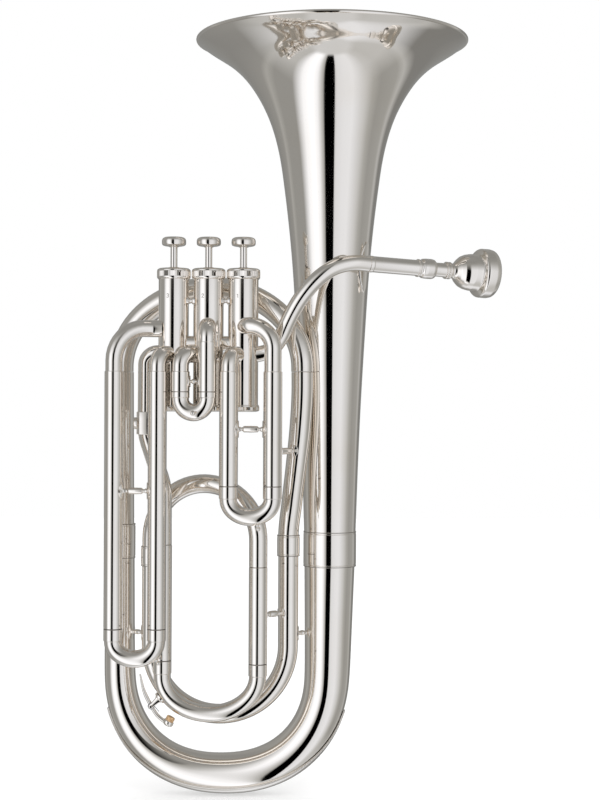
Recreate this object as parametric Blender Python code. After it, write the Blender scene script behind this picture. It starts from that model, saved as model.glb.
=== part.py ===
"""Baritone horn with three piston valves, as separate soldered, screwed and sliding pieces.

Every length is in millimetres and becomes metres when a mesh is made. +X is towards the
mouthpiece, -Y towards the side that faces a listener on the player's left, and +Z up to the bell.
The air goes mouthpiece, leadpipe, valves 1, 2, 3, exit tube, tuning slide, inner bow, right
branch, top bow, left leg, bottom bow and bell, and the tube widens all the way.
"""

import itertools
import math

import bmesh
import bpy
from mathutils import Vector

MM = 0.001
GAP = 0.3  # between pieces that touch on the real horn
SHIFT = (0.7, 0.0, 0.0)  # moves the whole horn, so that its box is centred over the origin

# Bell and the large conical tubes
BELL_X = 21.4
RIM_Z = 574.0
RIM_RADIUS = 103.2
BEAD = 1.5  # radius of the rolled wire at the rim
BELL_WALL = 0.9
BELL_END_Z = 183.3
BELL_OUTLINE = [(183.3, 19.1), (285.0, 22.5), (351.0, 26.1), (409.0, 29.9), (459.0, 35.5)]  # z, radius
BELL_OUTLINE += [(488.0, 40.0), (511.0, 46.6), (531.0, 56.4), (546.0, 67.4), (556.0, 78.7)]
BELL_OUTLINE += [(563.0, 89.6), (569.0, 98.6), (RIM_Z, RIM_RADIUS)]
LEFT_X = -138.0
BOW_BOTTOM_Z = 16.1  # centreline of the bottom bow
BOW_TOP_X = 20.1  # centreline where the bell's side starts to bend
BOW_RADII = (19.3, 17.2, 14.8, 11.6, 10.9)  # bell end, start, bottom and end of the bend, left end
BOW_SQUARE = 0.9  # 1 for a half circle, less for fuller corners
BOW_STEPS = 10
LEFT_JOINT_Z = 192.0
TOP_JOINT_Z = 320.8  # where the top bow meets both legs
TOP_Z = 324.0  # where its arch starts
TOP_RISE = 59.6
TOP_RIGHT = (0.0, -25.6)
LEFT_LEG_RADII = (10.6, 9.7)
TOP_BOW_RADII = (9.5, 8.4)
BRANCH_RADII = (8.2, 7.7)
BRANCH_JOINT_Z = 190.4

# Inner bow and main tuning slide
INNER_RIGHT_X = -10.0
INNER_LEFT_X = -112.7
INNER_Y = -14.0
INNER_RADII = (7.6, 7.2)
INNER_BOTTOM_Z = 63.4
INNER_JOINT_Z = 182.0
TUNING_LEFT_X = -103.0
TUNING_RIGHT_X = -32.2
ARC_TOP_Z = 237.0
ARC_RADIUS = 6.8
TUNING_SLEEVES = {"left": (192.0, 106.6), "right": (175.6, 104.2)}  # top and bottom
TUNING_FERRULES = (96.6, 94.9)  # lower ends of the ferrules on the slide itself
CROOK_BOTTOM_Z = 67.0
CROOK_START_Z = 94.6

# Valves: number 1 is the one next to the bell
VALVE_Y = -33.0
VALVE_X = {1: -44.1, 2: -69.9, 3: -95.7}
HIGH_PORT_Z = 354.0
LOW_PORT_Z = 333.0
CONNECTOR_Z = 341.5
CASING = (293.6, 391.4)  # bottom and top
CASING_RADIUS = 11.2
CASING_BORE = 9.4
CAP_RADIUS = 12.5
BOTTOM_CAP_RADIUS = 12.2
PISTON = (321.0, 379.0)
PISTON_RADIUS = 9.25
STEM_RADIUS = 2.6
BUTTON = (411.8, 420.1)
BUTTON_RADIUS = 9.0

# Valve slides
SLIDE_Y = -52.6
SLEEVE_RADIUS = 6.9
SLEEVE_BORE = 6.45
INNER_TUBE_RADIUS = 6.2
KNUCKLE_RADIUS = 5.9
CROOK_RADIUS = 6.4
TUBE_WALL = 0.6
# Each slide: x of its left and right legs, bottoms of the sleeves, of the ferrules and of the
# crook's centreline, and how far its left and right inner tubes reach up into the sleeves
SLIDES = {
    1: {"legs": (-53.8, -21.6), "sleeve": 236.7, "ferrule": 227.4, "crook": 214.0, "reach": (66, 66)},
    2: {"legs": (-89.3, -69.7), "sleeve": 305.6, "ferrule": 300.9, "crook": 290.3, "reach": (12.5, 33)},
    3: {"legs": (-137.6, -105.8), "sleeve": 132.4, "ferrule": 123.3, "crook": 110.2, "reach": (130, 130)},
}
SLEEVE_TOP_Z = 320.3
SLIDE_2_RIGHT_TOP_Z = 341.9
TUNING_REACH = 62.0
EXIT_X = -115.9  # where the tube out of valve 3 runs down

# Leadpipe, receiver and mouthpiece
LEADPIPE_RADIUS = 5.9
RECEIVER_START = (48.6, -39.8, 400.4)
MOUTH_SWING = math.radians(22.0)  # the receiver points this much away from the front
MOUTH_DROP = math.radians(2.4)
RECEIVER_LENGTH = 53.4
MOUTHPIECE_OUT = 49.0  # from the receiver's mouth to the rim's face

# Lyre holder
LYRE_X = -116.0
LYRE_Y = -43.4
LYRE_Z = 282.2

TUBE_SIDES = 10
BORE_SIDES = 16
BELL_SIDES = 24

SILVER = (0.86, 0.85, 0.83)
STEEL = (0.55, 0.55, 0.56)
CORK = (0.60, 0.40, 0.22)


# ---------------------------------------------------------------- shared tools


def clear_scene():
    for obj in list(bpy.data.objects):
        bpy.data.objects.remove(obj, do_unlink=True)


def finish(name, colour, roughness, metallic):
    material = bpy.data.materials.new(name)
    material.use_nodes = True
    shader = material.node_tree.nodes["Principled BSDF"]
    shader.inputs["Base Color"].default_value = (*colour, 1.0)
    shader.inputs["Roughness"].default_value = roughness
    shader.inputs["Metallic"].default_value = metallic
    material.diffuse_color = (*colour, 1.0)
    return material


def empty(name, place, parent):
    """A frame that pieces hang on; place is measured in the horn's own frame."""
    obj = bpy.data.objects.new(name, None)
    bpy.context.scene.collection.objects.link(obj)
    obj.empty_display_size = 0.01
    obj.parent = parent
    base = Vector(parent["place"]) if parent else Vector((0, 0, 0))
    obj.location = (Vector(place) - base) * MM
    obj["place"] = tuple(place)
    return obj


def piece(name, mesh_data, parent, colour=SILVER, roughness=0.08, metallic=1.0):
    """An object of this mesh, given in the horn's frame, with its origin at its parent's."""
    points, faces = mesh_data
    base = Vector(parent["place"])
    bm = bmesh.new()
    verts = [bm.verts.new((p - base) * MM) for p in points]
    for face in faces:
        bm.faces.new([verts[i] for i in face])
    bmesh.ops.recalc_face_normals(bm, faces=bm.faces)
    mesh = bpy.data.meshes.new(name)
    bm.to_mesh(mesh)
    bm.free()
    mesh.shade_smooth()
    mesh.set_sharp_from_angle(angle=math.radians(40))
    obj = bpy.data.objects.new(name, mesh)
    bpy.context.scene.collection.objects.link(obj)
    obj.parent = parent
    mesh.materials.append(finish(name, colour, roughness, metallic))
    return obj


def cutter(name, mesh_data, parent):
    obj = piece(name, mesh_data, parent)
    obj.hide_render = True
    obj.display_type = "WIRE"
    return obj


def cut(obj, *cutters):
    for other in cutters:
        modifier = obj.modifiers.new("cut", "BOOLEAN")
        modifier.operation = "DIFFERENCE"
        modifier.solver = "EXACT"
        modifier.object = other


def join(obj, other):
    modifier = obj.modifiers.new("join", "BOOLEAN")
    modifier.operation = "UNION"
    modifier.solver = "EXACT"
    modifier.object = other


def mixed(a, b, share):
    return a + (b - a) * share


# ---------------------------------------------------------------- centrelines


def rounded(corners, fillets, steps=3):
    """A line through the corners, each inner one rounded by an arc of its fillet's radius."""
    corners = [Vector(c) for c in corners]
    points = [corners[0]]
    for before, corner, after, radius in zip(corners, corners[1:], corners[2:], fillets):
        back = (before - corner).normalized()
        ahead = (after - corner).normalized()
        half = back.angle(ahead) / 2
        centre = corner + (back + ahead).normalized() * radius / math.sin(half)
        start = corner + back * radius / math.tan(half)
        end = corner + ahead * radius / math.tan(half)
        sweep = math.pi - 2 * half
        count = max(2, round(steps * sweep / (math.pi / 2)))
        for i in range(count + 1):
            turn = sweep * i / count
            arm = (start - centre) * math.sin(sweep - turn) + (end - centre) * math.sin(turn)
            points.append(centre + arm / math.sin(sweep))
    points.append(corners[-1])
    return [p for i, p in enumerate(points) if i == 0 or (p - points[i - 1]).length > 0.05]


def half_ellipse(centre, side, drop, steps):
    """From centre + side, through centre + drop, to centre - side."""
    centre, side, drop = Vector(centre), Vector(side), Vector(drop)
    turns = [math.pi * i / steps for i in range(steps + 1)]
    return [centre + side * math.cos(t) + drop * math.sin(t) for t in turns]


def smooth(points, steps):
    """A Catmull-Rom curve through the points, with this many steps between two of them."""
    points = [Vector(p) for p in points]
    ends = [points[0] * 2 - points[1], *points, points[-1] * 2 - points[-2]]
    curve = []
    for a, b, c, d in zip(ends, ends[1:], ends[2:], ends[3:]):
        for i in range(steps):
            t = i / steps
            curve.append(
                0.5 * (2 * b + (c - a) * t + (2 * a - 5 * b + 4 * c - d) * t**2)
                + 0.5 * (3 * b - a - 3 * c + d) * t**3
            )
    return [*curve, points[-1]]


def even(points, start, end, wall=TUBE_WALL):
    """Stations (point, outer radius, inner radius) whose radius changes evenly with length."""
    lengths = [0.0]
    for a, b in zip(points, points[1:]):
        lengths.append(lengths[-1] + (b - a).length)
    radii = [mixed(start, end, length / lengths[-1]) for length in lengths]
    return [(p, r, r - wall) for p, r in zip(points, radii)]


# ---------------------------------------------------------------- meshes


def frames(points):
    """(direction, across, other) at each point, turning as little as possible on the way."""
    found = []
    across = None
    for i, point in enumerate(points):
        before = next((p for p in reversed(points[:i]) if (p - point).length > 1e-4), point)
        after = next((p for p in points[i + 1 :] if (p - point).length > 1e-4), point)
        ahead = (after - before).normalized()
        if across is None:
            across = Vector((0, 1, 0)) if abs(ahead.x) > 0.7 else Vector((1, 0, 0))
        across = (across - ahead * across.dot(ahead)).normalized()
        found.append((ahead, across, ahead.cross(across)))
    return found


def ring(point, across, other, radius, sides):
    turns = [2 * math.pi * k / sides for k in range(sides)]
    return [point + (across * math.cos(t) + other * math.sin(t)) * radius for t in turns]


def skin(first, second, sides):
    """Faces between two rings, given the number of each ring's first point."""
    return [
        [first + k, first + (k + 1) % sides, second + (k + 1) % sides, second + k]
        for k in range(sides)
    ]


def pipe(stations, sides=TUBE_SIDES):
    """A hollow tube along its stations, open at both ends."""
    points, faces = [], []
    bases = frames([s[0] for s in stations])
    for (point, outer, _), (_, across, other) in zip(stations, bases):
        points += ring(point, across, other, outer, sides)
    for (point, _, inner), (_, across, other) in zip(stations, bases):
        points += ring(point, across, other, inner, sides)
    count = len(stations)
    for i in range(count - 1):
        faces += skin(i * sides, (i + 1) * sides, sides)
        faces += skin((count + i + 1) * sides, (count + i) * sides, sides)
    faces += skin(count * sides, 0, sides)
    faces += skin((count - 1) * sides, (2 * count - 1) * sides, sides)
    return points, faces


def rod(stations, sides=TUBE_SIDES):
    """A solid bar; each station is (point, radius)."""
    points, faces = [], []
    for (point, radius), (_, across, other) in zip(stations, frames([s[0] for s in stations])):
        points += ring(point, across, other, radius, sides)
    for i in range(len(stations) - 1):
        faces += skin(i * sides, (i + 1) * sides, sides)
    last = (len(stations) - 1) * sides
    return points, [*faces, list(range(sides))[::-1], list(range(last, last + sides))]


def turned(profile, centre, axis=(0, 0, 1), sides=BORE_SIDES):
    """A closed outline of (radius, distance along the axis) turned into a ring."""
    centre, axis = Vector(centre), Vector(axis).normalized()
    across = Vector((0, 1, 0)) if abs(axis.x) > 0.7 else Vector((1, 0, 0))
    across = (across - axis * across.dot(axis)).normalized()
    other = axis.cross(across)
    points, faces = [], []
    for radius, along in profile:
        points += ring(centre + axis * along, across, other, radius, sides)
    for i in range(len(profile)):
        faces += skin(i * sides, (i + 1) % len(profile) * sides, sides)
    return points, faces


def disc_stack(profile, centre, axis=(0, 0, 1), sides=BORE_SIDES):
    """A solid turned piece: (radius, distance along the axis) from one flat end to the other."""
    centre, axis = Vector(centre), Vector(axis).normalized()
    return rod([(centre + axis * along, radius) for radius, along in profile], sides)


def box(low, high):
    corners = [Vector(c) for c in itertools.product(*zip(low, high))]
    return corners, [[0, 1, 3, 2], [4, 6, 7, 5], [0, 4, 5, 1], [2, 3, 7, 6], [0, 2, 6, 4], [1, 5, 7, 3]]


def stay(start, start_radius, end, end_radius, foot=3.6, neck=1.3, belly=2.3, axes=("Z", "Z")):
    """A turned brace between two tubes, whose round feet follow the tubes that they sit on.

    start and end are points on the tubes' centrelines, and axes says which way each tube runs.
    """
    start, end = Vector(start), Vector(end)
    ahead = (end - start).normalized()
    length = (end - start).length
    across = Vector((0, 0, 1)) if abs(ahead.z) < 0.7 else Vector((1, 0, 0))
    across = (across - ahead * across.dot(ahead)).normalized()
    other = ahead.cross(across)
    sides = 8

    def seat(radius, arm, way):
        along = Vector((0, 0, 1)) if way == "Z" else Vector((1, 0, 0))
        off = (arm - along * arm.dot(along)).length
        return math.sqrt(max((radius + 0.5) ** 2 - off**2, 0.0))

    turns = [2 * math.pi * k / sides for k in range(sides)]
    arms = [across * math.cos(t) + other * math.sin(t) for t in turns]
    first = start_radius + 0.5
    last = length - end_radius - 0.5
    plate = 0.8
    rows = [
        [start + a * foot + ahead * seat(start_radius, a * foot, axes[0]) for a in arms],
        [start + a * foot + ahead * (seat(start_radius, a * foot, axes[0]) + plate) for a in arms],
    ]
    inner = ((0.1, neck), (0.35, belly), (0.65, belly), (0.9, neck))
    for share, radius in inner:
        middle = start + ahead * mixed(first + plate, last - plate, share)
        rows.append([middle + a * radius for a in arms])
    rows += [
        [end + a * foot - ahead * (seat(end_radius, a * foot, axes[1]) + plate) for a in arms],
        [end + a * foot - ahead * seat(end_radius, a * foot, axes[1]) for a in arms],
    ]
    points = [p for row in rows for p in row] + [start + ahead * first, start + ahead * last]
    faces = []
    for i in range(len(rows) - 1):
        faces += skin(i * sides, (i + 1) * sides, sides)
    close = len(rows) * sides
    end_row = (len(rows) - 1) * sides
    for k in range(sides):
        faces.append([close, (k + 1) % sides, k])
        faces.append([close + 1, end_row + k, end_row + (k + 1) % sides])
    return points, faces


# ---------------------------------------------------------------- bell and large tubes


def bell_radius(z):
    """Outer radius of the bell at this height: a narrow cone that flares like a horn."""
    for (low, a), (high, b) in zip(BELL_OUTLINE, BELL_OUTLINE[1:]):
        if z <= high:
            return mixed(a, b, (z - low) / (high - low))
    return RIM_RADIUS


def bell(horn):
    heights = [z for z, _ in BELL_OUTLINE[:-1]]
    outside = [(radius, z) for z, radius in BELL_OUTLINE[:-1]]
    rim = [
        (RIM_RADIUS - BEAD, RIM_Z - 2 * BEAD - 0.3),
        (RIM_RADIUS, RIM_Z - BEAD),
        (RIM_RADIUS - 0.5 * BEAD, RIM_Z),
        (RIM_RADIUS - 2.0 * BEAD, RIM_Z),
    ]
    inside = [(bell_radius(z) - BELL_WALL * (1.0 if z < 540 else 1.6), z) for z in heights]
    piece("bell", turned(outside + rim + inside[::-1], (BELL_X, 0, 0), sides=BELL_SIDES), horn)


def band(name, x, y, low, high, radius, horn, sides=TUBE_SIDES, thick=0.7):
    """A ferrule: a short sleeve with softened edges over a joint in a vertical tube."""
    inside = radius + GAP
    outside = inside + thick
    edge = 0.5
    outline = [(inside, low), (outside - 0.3, low), (outside, low + edge), (outside, high - edge)]
    outline += [(outside - 0.3, high), (inside, high)]
    piece(name, turned(outline, (x, y, 0), sides=sides), horn)


def bow_middle_reach():
    return (BOW_TOP_X - LEFT_X) / 2


def bow_middle():
    return Vector(((BOW_TOP_X + LEFT_X) / 2, 0, BOW_BOTTOM_Z + bow_middle_reach()))


def bottom_bow_line():
    """Down the bell's side, round the bottom and up the left side."""
    bend = []
    for i in range(BOW_STEPS + 1):
        across, down = math.cos(math.pi * i / BOW_STEPS), math.sin(math.pi * i / BOW_STEPS)
        full = Vector((math.copysign(abs(across) ** BOW_SQUARE, across), 0, -(down**BOW_SQUARE)))
        bend.append(bow_middle() + full * bow_middle_reach())
    bend[-1].z = bend[0].z
    return [Vector((BELL_X, 0, BELL_END_Z - 2 * GAP)), *bend, Vector((LEFT_X, 0, LEFT_JOINT_Z - 0.15))]


def bottom_bow_stations():
    bell_end, start, bottom, end, left_end = BOW_RADII
    bend = []
    for i in range(BOW_STEPS + 1):
        share = 2 * i / BOW_STEPS
        bend.append(mixed(start, bottom, share) if share < 1 else mixed(bottom, end, share - 1))
    radii = [bell_end, *bend, left_end]
    return [(point, wide, wide - BELL_WALL) for point, wide in zip(bottom_bow_line(), radii)]


def bottom_bow(horn):
    piece("bottom_bow", pipe(bottom_bow_stations(), sides=BORE_SIDES), horn)


def plate(line, outs, radii, halves, thick=0.7, arc=4):
    """A thin plate laid round one side of a tube; halves are its half widths in degrees."""
    points, faces = [], []
    sides = 2 * (arc + 1)
    for i, (point, out, radius, half) in enumerate(zip(line, outs, radii, halves)):
        before, after = line[max(i - 1, 0)], line[min(i + 1, len(line) - 1)]
        across = (after - before).normalized().cross(out)
        turns = [math.radians(half) * (2 * k / arc - 1) for k in range(arc + 1)]
        for level, order in ((radius, 1), (radius + thick, -1)):
            row = [point + (out * math.cos(t) + across * math.sin(t)) * level for t in turns]
            points += row[::order]
    for i in range(len(line) - 1):
        faces += skin(i * sides, (i + 1) * sides, sides)
    for low in (0, (len(line) - 1) * sides):
        high = low + sides - 1
        faces += [[low + k, low + k + 1, high - 1 - k, high - k] for k in range(arc)]
    return points, faces


def bow_guard(horn):
    """A thin plate over the outer side of the bottom bow, narrowing to both ends."""
    stations = bottom_bow_stations()[2:11]
    line = [point for point, _, _ in stations]
    outs = [(point - bow_middle()).normalized() for point in line]
    halves = [18 + 36 * math.sin(math.pi * i / (len(line) - 1)) for i in range(len(line))]
    radii = [radius + 2 * GAP for _, radius, _ in stations]
    piece("bow_guard", plate(line, outs, radii, halves), horn)


def left_leg(horn):
    line = [Vector((LEFT_X, 0, LEFT_JOINT_Z + 0.15)), Vector((LEFT_X, 0, TOP_JOINT_Z - GAP))]
    piece("left_leg", pipe(even(line, *LEFT_LEG_RADII), sides=BORE_SIDES), horn)


def top_bow_line(steps=10):
    """An arch from the left leg to the right branch that leans forwards as it goes."""
    right_x, right_y = TOP_RIGHT
    half = (right_x - LEFT_X) / 2
    centre = (LEFT_X + half, 0, TOP_Z)
    line = half_ellipse(centre, (-half, 0, 0), (0, 0, TOP_RISE), steps)
    for point in line:
        point.y = right_y * ((point.x - LEFT_X) / (right_x - LEFT_X)) ** 2
    ends = [Vector((LEFT_X, 0, TOP_JOINT_Z)), Vector((right_x, right_y, TOP_JOINT_Z))]
    return [ends[0], *line, ends[1]]


def top_bow(horn):
    piece("top_bow", pipe(even(top_bow_line(), *TOP_BOW_RADII)), horn)


def right_branch(horn):
    """From the inner bow up beside the bell, leaning forwards to meet the top bow."""
    right_x, right_y = TOP_RIGHT
    line = [(INNER_RIGHT_X, INNER_Y, BRANCH_JOINT_Z), (INNER_RIGHT_X, INNER_Y, 199.0)]
    line += [(-7.6, -15.6, 222.0), (-4.4, -19.0, 250.0), (-1.4, -23.2, 280.0)]
    line += [(right_x, right_y, 306.0), (right_x, right_y, TOP_JOINT_Z - GAP)]
    stations = even(smooth(line, 1), BRANCH_RADII[1], BRANCH_RADII[0])
    piece("right_branch", pipe(stations), horn)


def inner_bow(horn):
    half = (INNER_RIGHT_X - INNER_LEFT_X) / 2
    centre = (INNER_LEFT_X + half, INNER_Y, INNER_BOTTOM_Z + half)
    line = [Vector((INNER_RIGHT_X, INNER_Y, BRANCH_JOINT_Z - GAP))]
    line += half_ellipse(centre, (half, 0, 0), (0, 0, -half), 8)
    line += [Vector((INNER_LEFT_X, INNER_Y, INNER_JOINT_Z - 0.15))]
    piece("inner_bow", pipe(even(line, *INNER_RADII)), horn)


def tuning_top_arc(horn):
    low_left = (INNER_LEFT_X, INNER_Y, INNER_JOINT_Z + 0.15)
    high_left = (INNER_LEFT_X, INNER_Y, ARC_TOP_Z)
    high_right = (TUNING_RIGHT_X, VALVE_Y, ARC_TOP_Z)
    low_right = (TUNING_RIGHT_X, VALVE_Y, TUNING_SLEEVES["right"][0] + GAP)
    fillet = (Vector(high_left) - Vector(high_right)).length / 2 - 0.05
    line = rounded([low_left, high_left, high_right, low_right], (fillet, fillet))
    piece("tuning_top_arc", pipe(even(line, ARC_RADIUS + 0.4, ARC_RADIUS)), horn)


def ferrules(horn):
    band("bell_ferrule", BELL_X, 0, 173.7, 200.3, 19.75, horn, sides=BELL_SIDES)
    band("left_leg_ferrule", LEFT_X, 0, 179.2, 205.4, 11.1, horn, sides=BORE_SIDES)
    band("branch_ferrule", INNER_RIGHT_X, INNER_Y, 182.8, 197.6, 7.75, horn)
    band("inner_bow_ferrule", INNER_LEFT_X, INNER_Y, 174.5, 189.5, 7.3, horn)


# ---------------------------------------------------------------- valves


def valve_frame(number):
    return VALVE_X[number], VALVE_Y


def casing_cutter(number, horn):
    """The space that a casing needs, taken out of every tube that meets it."""
    low, high = CASING
    shape = disc_stack([(CASING_RADIUS + GAP, low), (CASING_RADIUS + GAP, high)], (*valve_frame(number), 0))
    return cutter(f"casing_space_{number}", shape, horn)


# The ways out of each casing: direction in degrees about its axis (0 is +X, -90 the front) and height
PORTS = {
    1: ((0, LOW_PORT_Z), (-78, HIGH_PORT_Z), (-124, LOW_PORT_Z), (180, CONNECTOR_Z)),
    2: ((0, CONNECTOR_Z), (-90, HIGH_PORT_Z), (-137, LOW_PORT_Z), (180, CONNECTOR_Z)),
    3: ((0, CONNECTOR_Z), (180, LOW_PORT_Z), (-108, LOW_PORT_Z), (-169, HIGH_PORT_Z - 2)),
}
PORT_RADIUS = 4.6


def port_cutter(number, horn):
    """One hole through the casing wall for each tube that joins it."""
    x, y = valve_frame(number)
    holes = []
    for degrees, z in PORTS[number]:
        way = Vector((math.cos(math.radians(degrees)), math.sin(math.radians(degrees)), 0))
        middle = Vector((x, y, z))
        holes.append((middle + way * (PISTON_RADIUS - 3), middle + way * (CASING_RADIUS + 3)))
    shapes = [rod([(a, PORT_RADIUS), (b, PORT_RADIUS)], sides=8) for a, b in holes]
    return [cutter(f"port_{number}_{i}", shape, horn) for i, shape in enumerate(shapes)]


def valve_casing(number, horn):
    low, high = CASING
    outline = [(CASING_BORE, low), (CASING_RADIUS, low), (CASING_RADIUS, high), (CASING_BORE, high)]
    shape = turned(outline, (*valve_frame(number), 0))
    cut(piece(f"valve_casing_{number}", shape, horn), *port_cutter(number, horn))


def cap_outlines():
    """Outlines of the two screw caps: each has a skirt round the casing and a hole in its end."""
    skirt = CASING_RADIUS + GAP
    top = CASING[1] + GAP
    upper = [(skirt, 388.8), (CAP_RADIUS - 0.5, 388.8), (CAP_RADIUS, 389.6), (CAP_RADIUS, 393.6)]
    upper += [(CAP_RADIUS - 1.2, 394.6), (CAP_RADIUS - 1.6, 396.9), (STEM_RADIUS + 0.5, 396.9)]
    upper += [(STEM_RADIUS + 0.5, top), (skirt, top)]
    end = CASING[0] - GAP
    lower = [(1.6, 290.9), (BOTTOM_CAP_RADIUS - 0.8, 290.9), (BOTTOM_CAP_RADIUS, 291.6)]
    lower += [(BOTTOM_CAP_RADIUS, 295.8), (skirt, 295.8), (skirt, end), (1.6, end)]
    return {"top_cap": upper, "bottom_cap": lower}


def valve_caps(number, horn):
    for name, outline in cap_outlines().items():
        piece(f"{name}_{number}", turned(outline, (*valve_frame(number), 0)), horn)


def piston(number, moving):
    """Piston and stem in one, with two passages across it."""
    low, high = PISTON
    outline = [(PISTON_RADIUS, low), (PISTON_RADIUS, high), (4.5, high + 0.8), (STEM_RADIUS, high + 1.6)]
    outline += [(STEM_RADIUS, BUTTON[0] + 3.2)]
    body = piece(f"piston_{number}", disc_stack(outline, (*valve_frame(number), 0)), moving)
    x, y = valve_frame(number)
    for i, (degrees, z) in enumerate(((-62, HIGH_PORT_Z), (0, LOW_PORT_Z))):
        way = Vector((math.cos(math.radians(degrees)), math.sin(math.radians(degrees)), 0))
        middle = Vector((x, y, z))
        shape = rod([(middle - way * 14, PORT_RADIUS), (middle + way * 14, PORT_RADIUS)], sides=8)
        cut(body, cutter(f"passage_{number}_{i}", shape, moving))


def finger_button(number, moving):
    """A round button with a socket for the stem underneath."""
    low, high = BUTTON
    socket = STEM_RADIUS + GAP
    outline = [(socket, low), (4.3, low), (4.3, low + 2.0), (BUTTON_RADIUS - 0.7, low + 2.8)]
    outline += [(BUTTON_RADIUS, low + 4.2), (BUTTON_RADIUS - 0.4, high - 1.4), (6.5, high), (0.8, high)]
    outline += [(0.8, low + 3.6), (socket, low + 3.6)]
    piece(f"finger_button_{number}", turned(outline, (*valve_frame(number), 0)), moving)


def valve_spring(number, horn):
    """A coil spring that stands on the bottom cap and carries the piston."""
    low = CASING[0] + 0.6
    high = PISTON[0] - 0.9
    x, y = valve_frame(number)
    turns, steps, radius = 4, 8, 6.4
    line = []
    for i in range(turns * steps + 1):
        angle = 2 * math.pi * i / steps
        height = mixed(low, high, i / (turns * steps))
        line.append(Vector((x + radius * math.cos(angle), y + radius * math.sin(angle), height)))
    shape = rod([(p, 0.5) for p in line], sides=4)
    piece(f"valve_spring_{number}", shape, horn, STEEL, 0.3)


def connector(name, left, right, spaces, horn):
    """The short tube that carries the air from one casing to the next."""
    ends = (VALVE_X[left] + 5, VALVE_X[right] - 5)
    line = [Vector((x, VALVE_Y, CONNECTOR_Z)) for x in ends]
    body = piece(name, pipe([(p, 5.4, 4.8) for p in line]), horn)
    cut(body, spaces[left], spaces[right])


# ---------------------------------------------------------------- valve slides


def sleeve(name, knuckle, fillets, leg_x, top, bottom, space, horn):
    """A knuckle from the casing that turns down into the outer sleeve of a valve slide."""
    line = rounded([*knuckle, (leg_x, SLIDE_Y, top)], fillets)[::-1]
    bore = KNUCKLE_RADIUS - TUBE_WALL
    levels = ((bottom, SLEEVE_BORE), (top - 1.6, SLEEVE_BORE), (top - 0.8, bore), (top, bore))
    stations = [(Vector((leg_x, SLIDE_Y, z)), SLEEVE_RADIUS, inner) for z, inner in levels]
    stations += [(p, KNUCKLE_RADIUS, bore) for p in line]
    cut(piece(name, pipe(stations), horn), space)


def valve_slide_sleeves(spaces, horn):
    """The six knuckles and sleeves. A path starts inside its casing and is cut off at its wall."""
    plans = {
        (1, "right"): ([(-43.0, -37.0), (-40.6, -50.2)], (3.0, 17.0), HIGH_PORT_Z),
        (1, "left"): ([(-46.5, -37.0)], (9.0,), LOW_PORT_Z),
        (2, "right"): ([(-69.8, -38.0)], (9.0,), HIGH_PORT_Z),
        (2, "left"): ([(-72.8, -36.0)], (9.0,), LOW_PORT_Z),
        (3, "right"): ([(-97.1, -38.2)], (9.0,), LOW_PORT_Z),
        (3, "left"): ([(-98.6, -34.6), (-112.0, -37.0)], (12.0, 24.0), HIGH_PORT_Z - 2),
    }
    for (number, side), (start, fillets, z) in plans.items():
        leg_x = SLIDES[number]["legs"][side == "right"]
        knuckle = [(x, y, z) for x, y in start] + [(leg_x, SLIDE_Y, z)]
        top = SLIDE_2_RIGHT_TOP_Z if (number, side) == (2, "right") else SLEEVE_TOP_Z
        name = f"slide_{number}_sleeve_{side}"
        sleeve(name, knuckle, fillets, leg_x, top, SLIDES[number]["sleeve"], spaces[number], horn)


def slide_stations(xs, y, tops, sleeves, ferrules_end, crook, start, steps):
    """Inner tube, ferrule and crook of a pull-out slide, from its left leg to its right leg."""
    tube_bore = INNER_TUBE_RADIUS - TUBE_WALL
    crook_bore = CROOK_RADIUS - TUBE_WALL
    legs = []
    for x, top, bottom, end in zip(xs, tops, sleeves, ferrules_end):
        levels = [(top, INNER_TUBE_RADIUS, tube_bore), (bottom - GAP, INNER_TUBE_RADIUS, tube_bore)]
        levels += [(bottom - GAP, SLEEVE_RADIUS, tube_bore), (end, SLEEVE_RADIUS, tube_bore)]
        levels += [(end, CROOK_RADIUS, crook_bore)]
        legs.append([(Vector((x, y, z)), outer, inner) for z, outer, inner in levels])
    half = (xs[1] - xs[0]) / 2
    bend = half_ellipse((xs[0] + half, y, start), (-half, 0, 0), (0, 0, crook - start), steps)
    crook_stations = [(p, CROOK_RADIUS, crook_bore) for p in bend]
    return [*legs[0], *crook_stations, *legs[1][::-1]]


def valve_slide(number, moving):
    plan = SLIDES[number]
    bottom, ferrule = plan["sleeve"], plan["ferrule"]
    tops = [bottom + reach for reach in plan["reach"]]
    ends = ((bottom, bottom), (ferrule, ferrule))
    stations = slide_stations(plan["legs"], SLIDE_Y, tops, *ends, plan["crook"], ferrule - 0.4, 6)
    piece(f"slide_{number}", pipe(stations), moving)


# ---------------------------------------------------------------- main tuning slide


def exit_tube(space, horn):
    """From the left side of casing 3, down and across to the left leg of the tuning slide."""
    path = [(-101.0, LOW_PORT_Z + 1), (EXIT_X, LOW_PORT_Z + 1), (EXIT_X, 274.0)]
    path += [(TUNING_LEFT_X, 236.0), (TUNING_LEFT_X, TUNING_SLEEVES["left"][0] + GAP)]
    line = rounded([(x, VALVE_Y, z) for x, z in path], (8.5, 40.0, 40.0))
    cut(piece("valve_3_exit_tube", pipe(even(line, KNUCKLE_RADIUS, 6.7)), horn), space)


def tuning_sleeves(horn):
    for side, x in (("left", TUNING_LEFT_X), ("right", TUNING_RIGHT_X)):
        line = [Vector((x, VALVE_Y, z)) for z in TUNING_SLEEVES[side]]
        piece(f"tuning_sleeve_{side}", pipe([(p, SLEEVE_RADIUS, SLEEVE_BORE) for p in line]), horn)


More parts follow.
